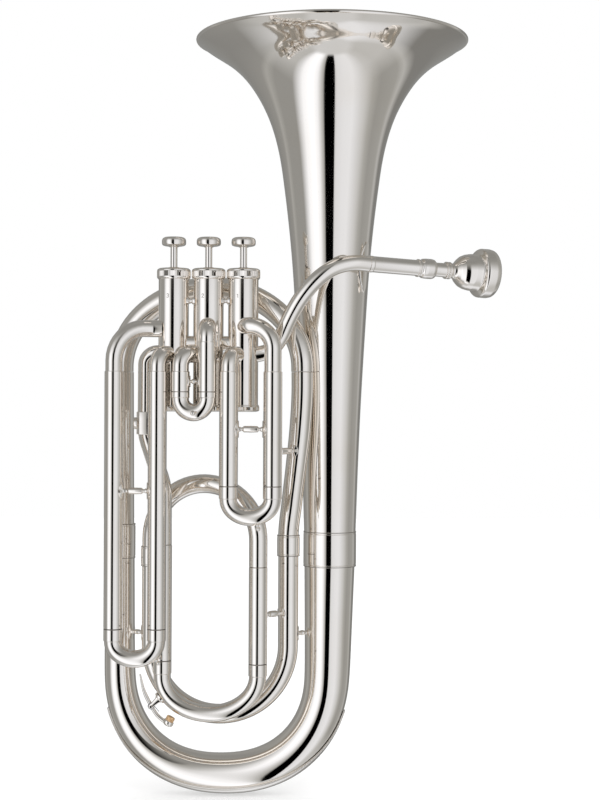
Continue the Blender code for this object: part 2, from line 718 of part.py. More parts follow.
def tuning_slide(moving):
    legs = (TUNING_LEFT_X, TUNING_RIGHT_X)
    sleeves = (TUNING_SLEEVES["left"][1], TUNING_SLEEVES["right"][1])
    tops = [z + TUNING_REACH for z in sleeves]
    stations = slide_stations(
        legs, VALVE_Y, tops, sleeves, TUNING_FERRULES, CROOK_BOTTOM_Z, CROOK_START_Z, 7
    )
    cut(piece("tuning_slide", pipe(stations), moving), water_hole(moving))


# ---------------------------------------------------------------- water key

KEY_SEAT = Vector((-92.9, VALVE_Y, 70.4))  # on the crook's centreline, behind the cork
KEY_OUT = Vector((-0.47, 0, -0.88)).normalized()  # from the crook towards the cork
KEY_PIVOT = Vector((-111.0, VALVE_Y, 72.5))
KEY_FOOT = Vector((-100.2, VALVE_Y, 82.4))  # on the crook's centreline, under the saddle


def water_hole(moving):
    shape = rod([(KEY_SEAT, 1.6), (KEY_SEAT + KEY_OUT * 12, 1.6)], sides=8)
    return cutter("water_hole", shape, moving)


def water_key_saddle(moving):
    """A post on the crook that holds the key's pin between two ears."""
    ahead = (KEY_PIVOT - KEY_FOOT).normalized()
    up = ahead.cross(Vector((0, 1, 0)))
    start = CROOK_RADIUS + 0.6
    reach = (KEY_PIVOT - KEY_FOOT).length

    def slab(near, far, half_y, half_up, shift=0.0):
        corners, faces = box((near, shift - half_y, -half_up), (far, shift + half_y, half_up))
        return [KEY_FOOT + ahead * c.x + Vector((0, 1, 0)) * c.y + up * c.z for c in corners], faces

    body = piece("water_key_saddle", slab(start, reach + 1.9, 3.3, 1.9), moving)
    room = slab(start + 1.6, reach + 6, 1.9, 5.0)
    pin = rod([(KEY_PIVOT - Vector((0, 6, 0)), 0.9), (KEY_PIVOT + Vector((0, 6, 0)), 0.9)], sides=8)
    cut(body, cutter("saddle_room", room, moving), cutter("saddle_hole", pin, moving))


def water_key(moving):
    """Lever with its pin, from the touch piece past the pivot to the cork cup."""
    cup = KEY_SEAT + KEY_OUT * (CROOK_RADIUS + 6.2)
    tip = KEY_PIVOT + Vector((-8.4, 0, 23.6))
    line = [tip, KEY_PIVOT + Vector((-5.4, 0, 11.0)), KEY_PIVOT, KEY_PIVOT + Vector((4.0, 0, -6.4)), cup]
    curve = smooth(line, 2)
    arm = rod([(p, 1.35 if i else 1.9) for i, p in enumerate(curve)], sides=8)
    body = piece("water_key", arm, moving)
    pin = rod([(KEY_PIVOT - Vector((0, 4.4, 0)), 0.65), (KEY_PIVOT + Vector((0, 4.4, 0)), 0.65)], sides=8)
    outline = [(3.0, 3.8), (3.9, 4.6), (3.9, 6.6), (2.0, 8.0)]
    disc = disc_stack(outline, KEY_SEAT + KEY_OUT * CROOK_RADIUS, KEY_OUT)
    for name, shape in (("key_pin", pin), ("key_cup", disc)):
        join(body, cutter(name, shape, moving))


def water_key_cork(moving):
    base = KEY_SEAT + KEY_OUT * CROOK_RADIUS
    shape = disc_stack([(2.8, 0.35), (3.2, 0.7), (3.2, 3.5)], base, KEY_OUT, sides=12)
    piece("water_key_cork", shape, moving, CORK, 0.85, 0.0)


# ---------------------------------------------------------------- leadpipe and mouthpiece


def mouth_direction():
    return Vector(
        (math.cos(MOUTH_SWING) * math.cos(MOUTH_DROP), math.sin(MOUTH_SWING), -math.sin(MOUTH_DROP))
    ).normalized()


def leadpipe(space, horn):
    """From the receiver over the front of the bell and down into the right side of casing 1."""
    start = Vector(RECEIVER_START) - mouth_direction() * GAP
    line = [start, start - mouth_direction() * 12.0]
    line += [(20.8, -48.0, 396.2), (8.3, -48.4, 386.2), (-2.2, -46.4, 373.5), (-10.4, -42.6, 358.8)]
    line += [(-16.6, -38.6, 345.0), (-24.4, -35.0, 336.0), (-36.0, VALVE_Y, LOW_PORT_Z)]
    stations = even(smooth(line, 1), LEADPIPE_RADIUS, LEADPIPE_RADIUS - 0.1)
    cut(piece("leadpipe", pipe(stations), horn), space)


def mouthpiece_receiver(horn):
    length = RECEIVER_LENGTH
    outline = [(5.9, 0.0), (5.9, length - 12.5), (6.6, length - 11.5), (7.5, length - 9.0)]
    outline += [(7.5, length - 2.0), (6.9, length), (5.3, length), (4.5, length - 26), (4.5, 0.0)]
    piece("mouthpiece_receiver", turned(outline, RECEIVER_START, mouth_direction()), horn)


def mouthpiece(moving):
    """Shank, cup and rim, with the bore and the cup hollow."""
    mouth = Vector(RECEIVER_START) + mouth_direction() * RECEIVER_LENGTH
    face = MOUTHPIECE_OUT
    outline = [(4.25, -24.0), (5.05, 0.0), (5.0, 8.6), (6.4, 9.4), (6.4, 12.6), (5.6, 13.6), (7.4, 15.4)]
    outline += [(11.4, 19.5), (13.2, 25.0), (13.8, face - 16.6), (16.6, face - 14.8)]
    outline += [(18.3, face - 12.0), (18.6, face - 4.0), (17.8, face - 1.0), (16.0, face), (14.4, face - 0.6)]
    outline += [(12.9, face - 3.0), (12.0, face - 12.0), (8.0, face - 20.0), (3.2, face - 25.5)]
    outline += [(3.1, face - 32.0), (3.6, -24.0)]
    piece("mouthpiece", turned(outline, mouth, mouth_direction()), moving)


# ---------------------------------------------------------------- braces and lyre holder


def stays(horn):
    """Every brace between two tubes: name, ends on the centrelines and radii of the tubes."""
    left_1, right_1 = SLIDES[1]["legs"]
    left_3, right_3 = SLIDES[3]["legs"]
    sleeve_r = SLEEVE_RADIUS
    shapes = {
        "slide_1_stay": stay((left_1, SLIDE_Y, 278.3), sleeve_r, (right_1, SLIDE_Y, 278.3), sleeve_r),
        "slide_3_stay": stay((left_3, SLIDE_Y, 232.9), sleeve_r, (right_3, SLIDE_Y, 232.9), sleeve_r),
        "branch_stay": stay((right_1, SLIDE_Y, 262.0), sleeve_r, (-3.2, -20.7, 262.0), 8.9),
        "left_stay": stay((LEFT_X, 0, 124.0), 11.5, (INNER_LEFT_X, INNER_Y, 124.0), 7.3, belly=1.9),
        "tuning_stay": stay(
            (TUNING_RIGHT_X, VALVE_Y, 140.0), sleeve_r, (INNER_RIGHT_X, INNER_Y, 140.0), 7.7, belly=1.9
        ),
        "bell_stay": stay((INNER_RIGHT_X, INNER_Y, 124.0), 7.7, (BOW_TOP_X + 0.4, 0, 124.0), 17.9, belly=1.9),
    }
    for name, shape in shapes.items():
        piece(name, shape, horn)


def leadpipe_stay(horn):
    """A leaf-shaped foot on the bell with a post that carries the leadpipe."""
    post_x, post_z = 45.0, 400.0
    heights = [post_z - 19 + 38 * i / 6 for i in range(7)]
    out = Vector((math.cos(math.radians(-38)), math.sin(math.radians(-38)), 0))
    line = [Vector((BELL_X, 0, z)) for z in heights]
    halves = [2 + 12 * math.sin(math.pi * i / 6) for i in range(7)]
    radii = [bell_radius(z) + GAP for z in heights]
    body = piece("leadpipe_stay", plate(line, [out] * 7, radii, halves), horn)
    post = [(Vector((post_x, y, post_z)), radius) for y, radius in ((-42, 3.4), (-31.5, 2.0), (-14, 2.0))]
    join(body, cutter("leadpipe_post", rod(post, sides=8), horn))
    ends = [(bell_radius(z) + GAP, z) for z in (post_z - 40, post_z + 40)]
    near_bell = cutter("bell_space", disc_stack(ends, (BELL_X, 0, 0), sides=BELL_SIDES), horn)
    direction = mouth_direction()
    start = Vector(RECEIVER_START)
    reach = [(start + direction * along, LEADPIPE_RADIUS + GAP) for along in (-20, 20)]
    cut(body, near_bell, cutter("leadpipe_space", rod(reach, sides=16), horn))


def lyre_holder(horn):
    """A block on the exit tube with an upright slot for a lyre's stem and a hole for its screw."""
    outer = box((LYRE_X - 4.0, -47.0, LYRE_Z - 8.4), (LYRE_X + 4.0, -37.0, LYRE_Z + 8.4))
    body = piece("lyre_holder", outer, horn)
    slot = box((LYRE_X - 2.2, -45.5, LYRE_Z - 20), (LYRE_X + 2.2, -41.1, LYRE_Z + 20))
    hole = rod([(Vector((x, LYRE_Y, LYRE_Z)), 1.5) for x in (LYRE_X - 10, LYRE_X)], sides=8)
    tube = rod([(Vector((EXIT_X, VALVE_Y, z)), 7.0) for z in (LYRE_Z - 20, LYRE_Z + 20)], sides=16)
    cut(
        body,
        cutter("lyre_slot", slot, horn),
        cutter("lyre_hole", hole, horn),
        cutter("lyre_seat", tube, horn),
    )


def lyre_screw(moving):
    """Thumb screw with a flat round head to the left of the lyre holder."""
    outline = [(1.6, -8.6), (4.0, -8.2), (4.3, -7.6), (4.3, -5.4), (4.0, -4.8), (1.2, -4.5), (1.2, -2.7)]
    shape = disc_stack(outline, (LYRE_X, LYRE_Y, LYRE_Z), (1, 0, 0), sides=12)
    piece("lyre_screw", shape, moving)


# ---------------------------------------------------------------- the whole horn


def build():
    clear_scene()
    horn = empty("horn", (0, 0, 0), None)
    horn.location = Vector(SHIFT) * MM
    bell(horn)
    bottom_bow(horn)
    bow_guard(horn)
    left_leg(horn)
    top_bow(horn)
    right_branch(horn)
    inner_bow(horn)
    tuning_top_arc(horn)
    ferrules(horn)

    spaces = {number: casing_cutter(number, horn) for number in VALVE_X}
    for number, x in VALVE_X.items():
        valve_casing(number, horn)
        valve_caps(number, horn)
        valve_spring(number, horn)
        moving = empty(f"valve_axis_{number}", (x, VALVE_Y, PISTON[0]), horn)
        piston(number, moving)
        finger_button(number, moving)
    connector("connector_1_2", 2, 1, spaces, horn)
    connector("connector_2_3", 3, 2, spaces, horn)
    valve_slide_sleeves(spaces, horn)
    for number, plan in SLIDES.items():
        middle = sum(plan["legs"]) / 2
        valve_slide(number, empty(f"slide_axis_{number}", (middle, SLIDE_Y, plan["sleeve"]), horn))

    exit_tube(spaces[3], horn)
    tuning_sleeves(horn)
    middle = (TUNING_LEFT_X + TUNING_RIGHT_X) / 2
    tuning_frame = empty("tuning_axis", (middle, VALVE_Y, 100.0), horn)
    tuning_slide(tuning_frame)
    water_key_saddle(tuning_frame)
    key_frame = empty("water_key_axis", KEY_PIVOT, tuning_frame)
    water_key(key_frame)
    water_key_cork(key_frame)

    leadpipe(spaces[1], horn)
    mouthpiece_receiver(horn)
    mouth = Vector(RECEIVER_START) + mouth_direction() * RECEIVER_LENGTH
    mouthpiece(empty("mouthpiece_axis", mouth, horn))
    stays(horn)
    leadpipe_stay(horn)
    lyre_holder(horn)
    lyre_screw(empty("lyre_screw_axis", (LYRE_X, LYRE_Y, LYRE_Z), horn))


build()
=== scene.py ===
"""Looks of the baritone horn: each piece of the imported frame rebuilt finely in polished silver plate.

Shapes are given in millimetres in the horn's own frame, as in the part's source, and become
metres when a piece is made. +X is towards the mouthpiece and -Y towards the camera.
"""

import math

import bmesh
import bpy
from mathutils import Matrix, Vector


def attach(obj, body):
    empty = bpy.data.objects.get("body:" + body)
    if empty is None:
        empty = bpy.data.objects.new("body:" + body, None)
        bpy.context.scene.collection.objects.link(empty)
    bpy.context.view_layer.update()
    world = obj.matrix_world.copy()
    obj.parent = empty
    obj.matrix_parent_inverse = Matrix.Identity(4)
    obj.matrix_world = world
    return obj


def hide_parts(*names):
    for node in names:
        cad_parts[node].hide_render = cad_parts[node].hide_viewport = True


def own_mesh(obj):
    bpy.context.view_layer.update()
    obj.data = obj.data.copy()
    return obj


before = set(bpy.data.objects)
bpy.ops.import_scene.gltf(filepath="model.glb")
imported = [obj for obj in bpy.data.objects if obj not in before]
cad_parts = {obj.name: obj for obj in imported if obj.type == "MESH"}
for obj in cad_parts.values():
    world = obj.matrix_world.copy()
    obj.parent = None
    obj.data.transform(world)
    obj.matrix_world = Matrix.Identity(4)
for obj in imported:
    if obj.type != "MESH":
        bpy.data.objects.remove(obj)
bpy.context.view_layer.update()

MM = 0.001
SHIFT = Vector((0.7, 0.0, 0.0))  # from the horn's own frame to the row frame
TURN = -0.2  # radians that the horn stands turned in the photograph, given to its reflections
GAP = 0.3

UP = Vector((0, 0, 1))

TUBE_SIDES = 40
WIDE_SIDES = 56
BELL_SIDES = 144
KNURL_SIDES = 150
KNURL_FROM = 12.0  # only rings wider than this radius get teeth
KNURL_DEPTH = 0.22

# Bell and the large conical tubes
BELL_X = 21.4
RIM_Z = 574.0
RIM_RADIUS = 103.2
BEAD = 1.5
BELL_WALL = 0.9
BELL_END_Z = 183.3
BELL_OUTLINE = [(183.3, 19.1), (285.0, 22.5), (351.0, 26.1), (409.0, 29.9), (459.0, 35.5)]  # z, radius
BELL_OUTLINE += [(488.0, 40.0), (511.0, 46.6), (531.0, 56.4), (546.0, 67.4), (556.0, 78.7)]
BELL_OUTLINE += [(563.0, 89.6), (568.0, 97.2), (RIM_Z - 2.4, RIM_RADIUS - 1.6)]
LEFT_X = -138.0
BOW_BOTTOM_Z = 16.1
BOW_TOP_X = 20.1
BOW_RADII = (19.3, 17.2, 14.8, 11.6, 10.9)  # bell end, start, bottom and end of the bend, left end
BOW_SQUARE = 0.9  # 1 for a half circle, less for fuller corners
LEFT_JOINT_Z = 192.0
TOP_JOINT_Z = 320.8
TOP_Z = 324.0
TOP_RISE = 59.6
TOP_RIGHT = (0.0, -25.6)
LEFT_LEG_RADII = (10.6, 9.7)
TOP_BOW_RADII = (9.5, 8.4)
BRANCH_RADII = (8.2, 7.7)
BRANCH_JOINT_Z = 190.4

# Inner bow and main tuning slide
INNER_RIGHT_X = -10.0
INNER_LEFT_X = -112.7
INNER_Y = -14.0
INNER_RADII = (7.6, 7.2)
INNER_BOTTOM_Z = 63.4
INNER_JOINT_Z = 182.0
TUNING_X = {"left": -103.0, "right": -32.2}
ARC_TOP_Z = 237.0
ARC_RADIUS = 6.8
TUNING_SLEEVES = {"left": (192.0, 106.6), "right": (175.6, 104.2)}
TUNING_FERRULES = (96.6, 94.9)
CROOK_BOTTOM_Z = 67.0
CROOK_START_Z = 94.6
TUNING_REACH = 62.0

# Valves
VALVE_Y = -33.0
VALVE_X = {1: -44.1, 2: -69.9, 3: -95.7}
HIGH_PORT_Z = 354.0
LOW_PORT_Z = 333.0
CONNECTOR_Z = 341.5
CASING = (293.6, 391.4)
CASING_RADIUS = 11.2
CASING_BORE = 9.4
CAP_RADIUS = 12.5
BOTTOM_CAP_RADIUS = 12.2
PISTON = (321.0, 379.0)
PISTON_RADIUS = 9.25
STEM_RADIUS = 2.6
BUTTON = (411.8, 420.1)
BUTTON_RADIUS = 9.0
SPRING_RADIUS = 6.4
SPRING_TURNS = 4
NUMERAL_PLACE = (376.2, -19.5)  # height, and degrees round the casing from its front
NUMERAL_SIZE = 0.62
SPOOL_Z = 372.8

# Valve slides
SLIDE_Y = -52.6
SLEEVE_RADIUS = 6.9
SLEEVE_BORE = 6.45
INNER_TUBE_RADIUS = 6.2
KNUCKLE_RADIUS = 5.9
KNUCKLE_LOOK_RADIUS = 6.3  # the photograph shows hardly a step at the top of a sleeve
# height of the dark rings of painted shade where a sleeve or ferrule ends
JOINT_SHADE_HEIGHT = 0.42
CROOK_RADIUS = 6.4
TUBE_WALL = 0.6
SLIDES = {
    1: {"legs": (-53.8, -21.6), "sleeve": 236.7, "ferrule": 227.4, "crook": 214.0, "reach": (66, 66)},
    2: {"legs": (-89.3, -69.7), "sleeve": 305.6, "ferrule": 300.9, "crook": 290.3, "reach": (12.5, 33)},
    3: {"legs": (-137.6, -105.8), "sleeve": 132.4, "ferrule": 123.3, "crook": 110.2, "reach": (130, 130)},
}
SLEEVE_TOP_Z = 320.3
SLIDE_2_RIGHT_TOP_Z = 341.9
EXIT_X = -115.9

# Leadpipe, receiver and mouthpiece
LEADPIPE_RADIUS = 5.9
RECEIVER_START = Vector((48.6, -39.8, 400.4))
MOUTH_SWING = math.radians(22.0)
MOUTH_DROP = math.radians(2.4)
RECEIVER_LENGTH = 53.4
MOUTHPIECE_OUT = 49.0

# Water key and lyre holder
KEY_SEAT = Vector((-92.9, VALVE_Y, 70.4))
KEY_OUT = Vector((-0.47, 0, -0.88)).normalized()
KEY_PIVOT = Vector((-111.0, VALVE_Y, 72.5))
KEY_FOOT = Vector((-100.2, VALVE_Y, 82.4))
LYRE = Vector((-116.0, -43.4, 282.2))

# Camera and light
CAMERA_PLACE = (-1.05, -1290.0, 299.8)
CAMERA_LENS = 76.28
CAMERA_ROLL = 0.27  # degrees
BRIGHTEST = 1.2
ROOM_TURN = 5.4  # degrees
SOFT_BOXES = [(-180, 0.30), (-150, 0.25), (-120, 0.30), (-112, 0.40), (-100, 0.31), (-70, 0.31)]
SOFT_BOXES += [(-60, 0.75), (-52, 1.05), (-35, 1.2), (-24, 1.0), (-16, 0.55), (-11.5, 0.35), (-11, 0.0)]
SOFT_BOXES += [(10, 0.0), (10.5, 0.66), (15, 0.78), (30, 0.84), (45, 0.86), (55, 0.76), (70, 0.60)]
SOFT_BOXES += [(82, 0.42), (95, 0.33), (120, 0.36), (130, 0.48), (142, 0.22), (157, 0.22), (180, 0.30)]
FLOOR_SIZE = 3.0
FLOOR_DROP = 0.0002


# ---- lines


def mixed(a, b, share):
    return a + (b - a) * share


def rounded(corners, fillets, steps=10):
    """A line through the corners, each inner one rounded by an arc of its fillet's radius."""
    corners = [Vector(c) for c in corners]
    points = [corners[0]]
    for before, corner, after, radius in zip(corners, corners[1:], corners[2:], fillets):
        back = (before - corner).normalized()
        ahead = (after - corner).normalized()
        half = back.angle(ahead) / 2
        centre = corner + (back + ahead).normalized() * radius / math.sin(half)
        start = corner + back * radius / math.tan(half)
        end = corner + ahead * radius / math.tan(half)
        sweep = math.pi - 2 * half
        count = max(3, round(steps * sweep / (math.pi / 2)))
        for i in range(count + 1):
            turn = sweep * i / count
            arm = (start - centre) * math.sin(sweep - turn) + (end - centre) * math.sin(turn)
            points.append(centre + arm / math.sin(sweep))
    points.append(corners[-1])
    return [p for i, p in enumerate(points) if i == 0 or (p - points[i - 1]).length > 0.05]


def half_ellipse(centre, side, drop, steps=32):
    """From centre + side, through centre + drop, to centre - side."""
    centre, side, drop = Vector(centre), Vector(side), Vector(drop)
    turns = [math.pi * i / steps for i in range(steps + 1)]
    return [centre + side * math.cos(t) + drop * math.sin(t) for t in turns]


def spline(points, steps):
    """A smooth curve through the points, which may be far apart or close together."""
    points = [Vector(p) for p in points]
    spans = [(b - a).length for a, b in zip(points, points[1:])]
    slopes = [(b - a) / span for a, b, span in zip(points, points[1:], spans)]
    tangents = [slopes[0]]
    for before, after, slope, next_slope in zip(spans, spans[1:], slopes, slopes[1:]):
        tangents.append((next_slope * before + slope * after) / (before + after))
    tangents.append(slopes[-1])
    curve = []
    for i, span in enumerate(spans):
        for k in range(steps):
            t = k / steps
            curve.append(
                points[i] * (2 * t**3 - 3 * t**2 + 1)
                + tangents[i] * span * (t**3 - 2 * t**2 + t)
                + points[i + 1] * (3 * t**2 - 2 * t**3)
                + tangents[i + 1] * span * (t**3 - t**2)
            )
    return [*curve, points[-1]]


def relaxed(points, passes):
    """The same line with its curvature evened out; its ends stay where they are."""
    for _ in range(passes):
        inner = [(a + b * 2 + c) * 0.25 for a, b, c in zip(points, points[1:], points[2:])]
        points = [points[0], *inner, points[-1]]
    return points


def upright(x, y, levels):
    """Stations along an upright tube, from levels of (height, outer radius, inner radius)."""
    return [(Vector((x, y, z)), outer, inner) for z, outer, inner in levels]


def even(points, start, end, wall=TUBE_WALL):
    """Stations (point, outer radius, inner radius) whose radius changes evenly with length."""
    lengths = [0.0]
    for a, b in zip(points, points[1:]):
        lengths.append(lengths[-1] + (b - a).length)
    radii = [mixed(start, end, length / lengths[-1]) for length in lengths]
    return [(p, r, r - wall) for p, r in zip(points, radii)]


def outside_casing(points, number):
    """The part of a line from the wall of a casing outwards; the line starts inside it."""
    axis = Vector((VALVE_X[number], VALVE_Y))
    reach = CASING_BORE + 0.1
    for i, (a, b) in enumerate(zip(points, points[1:])):
        near, far = (a.xy - axis).length, (b.xy - axis).length
        if near < reach <= far:
            return [mixed(a, b, (reach - near) / (far - near)), *points[i + 1 :]]
    return points


# ---- shapes


def frames(points):
    """(direction, across, other) at each point, turning as little as possible on the way."""
    found = []
    across = None
    for i, point in enumerate(points):
        before = next((p for p in reversed(points[:i]) if (p - point).length > 1e-4), point)
        after = next((p for p in points[i + 1 :] if (p - point).length > 1e-4), point)
        ahead = (after - before).normalized()
        if across is None:
            across = Vector((0, 1, 0)) if abs(ahead.x) > 0.7 else Vector((1, 0, 0))
        across = (across - ahead * across.dot(ahead)).normalized()
        found.append((ahead, across, ahead.cross(across)))
    return found


def circle(sides):
    return [2 * math.pi * k / sides for k in range(sides)]


def ring(point, across, other, radius, sides):
    return [point + (across * math.cos(t) + other * math.sin(t)) * radius for t in circle(sides)]


def skin(first, second, sides):
    pairs = [(k, (k + 1) % sides) for k in range(sides)]
    return [[first + a, first + b, second + b, second + a] for a, b in pairs]


def loft(rows, alongs, closed):
    """Faces between rings of equal size; alongs holds the direction of travel at each ring."""
    sides = len(rows[0])
    points = [p for row in rows for p in row]
    faces = []
    last = (len(rows) - 1) * sides
    for first in range(0, last, sides):
        faces += skin(first, first + sides, sides)
    if closed:
        faces += skin(last, 0, sides)
    else:
        faces += [list(range(sides))[::-1], list(range(last, last + sides))]
    return points, faces, [along for along in alongs for _ in range(sides)]


def pipe(stations, sides=TUBE_SIDES, lip=0.2):
    """A hollow tube along its stations, with softened edges at both ends."""
    (first, outer_a, inner_a), (second, _, _) = stations[0], stations[1]
    (last, outer_b, inner_b), (before, _, _) = stations[-1], stations[-2]
    step_in = (second - first).normalized() * lip
    step_out = (before - last).normalized() * lip
    stations = [
        (first, outer_a - lip, inner_a),
        (first + step_in, outer_a, inner_a),
        *stations[1:-1],
        (last + step_out, outer_b, inner_b),
        (last, outer_b - lip, inner_b),
    ]
    bases = frames([s[0] for s in stations])
    rows = [ring(p, a, o, outer, sides) for (p, outer, _), (_, a, o) in zip(stations, bases)]
    back = list(zip(stations, bases))[::-1]
    rows += [ring(p, a, o, inner, sides) for (p, _, inner), (_, a, o) in back]
    alongs = [base[0] for base in bases]
    return loft(rows, alongs + alongs[::-1], closed=True)


def rod(stations, sides=TUBE_SIDES):
    """A solid bar; each station is (point, radius)."""
    bases = frames([s[0] for s in stations])
    rows = [ring(p, a, o, radius, sides) for (p, radius), (_, a, o) in zip(stations, bases)]
    return loft(rows, [base[0] for base in bases], closed=False)


def softened(outline, fillet, closed=True, steps=4):
    """An outline of (radius, distance) pairs with each corner rounded by about the fillet."""
    points = [Vector(p) for p in outline]
    count = len(points)
    soft = []
    for i, corner in enumerate(points):
        if not closed and i in (0, count - 1):
            soft.append(corner)
            continue
        before, after = points[i - 1], points[(i + 1) % count]
        start = corner + (before - corner) * min(0.45, fillet / (before - corner).length)
        end = corner + (after - corner) * min(0.45, fillet / (after - corner).length)
        for k in range(steps + 1):
            t = k / steps
            soft.append(start * (1 - t) ** 2 + corner * 2 * t * (1 - t) + end * t**2)
    return soft


def mirrored(half, low, high):
    """An outline with two like ends; half is (radius, distance from the end)."""
    return [(r, low + along) for r, along in half] + [(r, high - along) for r, along in half[::-1]]


def axes(axis):
    axis = Vector(axis).normalized()
    across = Vector((0, 1, 0)) if abs(axis.x) > 0.7 else Vector((1, 0, 0))
    across = (across - axis * across.dot(axis)).normalized()
    return axis, across, axis.cross(across)


def turned(outline, centre, axis=(0, 0, 1), sides=WIDE_SIDES, knurl=None, closed=True):
    """An outline of (radius, distance along the axis) turned into a ring.

    knurl is the (low, high) reach along the axis of a band of fine upright teeth.
    """
    centre = Vector(centre)
    axis, across, other = axes(axis)
    rows = [ring(centre + axis * along, across, other, radius, sides) for radius, along in outline]
    low, high = knurl or (1.0, 0.0)
    for row, (radius, along) in zip(rows, outline):
        if low <= along <= high and radius > KNURL_FROM:
            middle = centre + axis * along
            row[1::2] = [middle + (p - middle) * (1 - KNURL_DEPTH / radius) for p in row[1::2]]
    return loft(rows, [axis] * len(rows), closed)


def solid(outline, centre, axis=(0, 0, 1), sides=TUBE_SIDES, fillet=0):
    """A solid turned piece: an open outline of (radius, distance) from one end to the other."""
    if fillet:
        outline = softened(outline, fillet, closed=False)
    return turned(outline, centre, axis, sides, closed=False)


def joined(*shapes):
    points, faces, alongs = [], [], []
    for more_points, more_faces, more_alongs in shapes:
        base = len(points)
        points += more_points
        faces += [[base + i for i in face] for face in more_faces]
        alongs += more_alongs
    return points, faces, alongs


def tangent(line, i):
    return (line[min(i + 1, len(line) - 1)] - line[max(i - 1, 0)]).normalized()


def plate(line, outs, radii, halves, thick, arc=16):
    """A thin plate laid round one side of a tube; halves are its half widths in degrees."""
    rows, alongs = [], []
    for i, (point, out, radius, half) in enumerate(zip(line, outs, radii, halves)):
        along = tangent(line, i)
        across = along.cross(out)
        turns = [math.radians(half) * (2 * k / arc - 1) for k in range(arc + 1)]
        arms = [out * math.cos(t) + across * math.sin(t) for t in turns]
        upper = [point + arm * (radius + thick) for arm in arms[1:-1]]
        edges = [point + arm * (radius + thick * 0.55) for arm in (arms[0], arms[-1])]
        lower = [point + arm * radius for arm in arms]
        rows.append([*lower, edges[1], *upper[::-1], edges[0]])
        alongs.append(along)
    return loft(rows, alongs, closed=False)


def foot_rows(centre, way, side, radius, foot, turns):
    """The rings of a round plate wrapped round an upright tube; foot is the plate's radius."""
    rows = []
    for share, height in ((0.75, 0.0), (1.0, 0.0), (1.0, 0.45), (0.94, 0.62), (0.3, 0.72), (0.26, 1.1)):
        row = []
        for turn in turns:
            wrap = foot * share * math.sin(turn) / radius
            out = way * math.cos(wrap) + side * math.sin(wrap)
            row.append(centre + UP * (foot * share * math.cos(turn)) + out * (radius + height))
        rows.append(row)
    return rows


def spindle(first, last, thick, ball):
    """A brace's bar as (radius, distance): a ball, or a full middle with a collar at each end."""
    middle = (first + last) / 2
    if ball:
        bulge = [(ball * math.sin(t), middle - ball * math.cos(t)) for t in circle(24)[2:11]]
        return [(0.9, first), *bulge, (0.9, last)]
    neck, lip = 1.3, 1.8
    collar = min(2.2, (last - first) * 0.2)
    half = [(lip, 0.0), (lip, 0.5), (neck, 0.8), (neck, collar), (thick, collar + 0.7)]
    bar = [(radius, first + along) for radius, along in half]
    bar += [(thick * 1.06, middle)]
    return bar + [(radius, last - along) for radius, along in half[::-1]]


def brace(start, start_radius, end, end_radius, feet=(6.2, 6.2), thick=2.3, ball=None):
    """A turned brace between two upright tubes, with round foot plates wrapped round the tubes."""
    start, end = Vector(start), Vector(end)
    ahead = (end - start).normalized()
    side = ahead.cross(UP)
    turns = circle(TUBE_SIDES)
    arms = [UP * math.cos(t) + side * math.sin(t) for t in turns]
    foot_height = 1.2
    bar = spindle(start_radius + foot_height, (end - start).length - end_radius - foot_height, thick, ball)
    rows = foot_rows(start, ahead, side, start_radius, feet[0], turns)
    for radius, along in softened(bar, 0.5, closed=False):
        rows.append([start + ahead * along + arm * radius for arm in arms])
    rows += foot_rows(end, -ahead, side, end_radius, feet[1], turns)[::-1]
    return loft(rows, [ahead] * len(rows), closed=False)


# ---- materials


def nodes_of(material):
    material.use_nodes = True
    tree = material.node_tree
    return tree, tree.nodes["Principled BSDF"]


def set_inputs(node, values):
    for socket, value in values.items():
        node.inputs[socket].default_value = value


def noise(tree, place, scale, detail=4.0):
    node = tree.nodes.new("ShaderNodeTexNoise")
    set_inputs(node, {"Scale": scale, "Detail": detail})
    tree.links.new(place, node.inputs["Vector"])
    return node.outputs["Fac"]


def add_bump(tree, shader, height, strength, distance):
    bump = tree.nodes.new("ShaderNodeBump")
    set_inputs(bump, {"Strength": strength, "Distance": distance})
    tree.links.new(height, bump.inputs["Height"])
    tree.links.new(bump.outputs["Normal"], shader.inputs["Normal"])


def ramp(tree, factor, stops):
    """A colour ramp whose stops are (position, grey or colour)."""
    node = tree.nodes.new("ShaderNodeValToRGB")
    elements = node.color_ramp.elements
    while len(elements) < len(stops):
        elements.new(0.5)
    for element, (position, colour) in zip(elements, stops):
        element.position = position
        element.color = (*colour, 1.0) if isinstance(colour, tuple) else (colour, colour, colour, 1.0)
    tree.links.new(factor, node.inputs["Fac"])
    return node.outputs["Color"]


def grained(name, dark, light, scale, rough, depth, metallic=0.0):
    """A material with fine grain: cork, felt, steel wire, and a dark metal used for engraved numerals and for
    painted shade in the gaps of joints.
    """
    material = bpy.data.materials.new(name)
    tree, shader = nodes_of(material)
    grain = noise(tree, tree.nodes.new("ShaderNodeTexCoord").outputs["Object"], scale, 8.0)
    tree.links.new(ramp(tree, grain, [(0.35, dark), (0.65, light)]), shader.inputs["Base Color"])
    set_inputs(shader, {"Metallic": metallic, "Roughness": rough})
    add_bump(tree, shader, grain, depth, 0.0003)
    return material


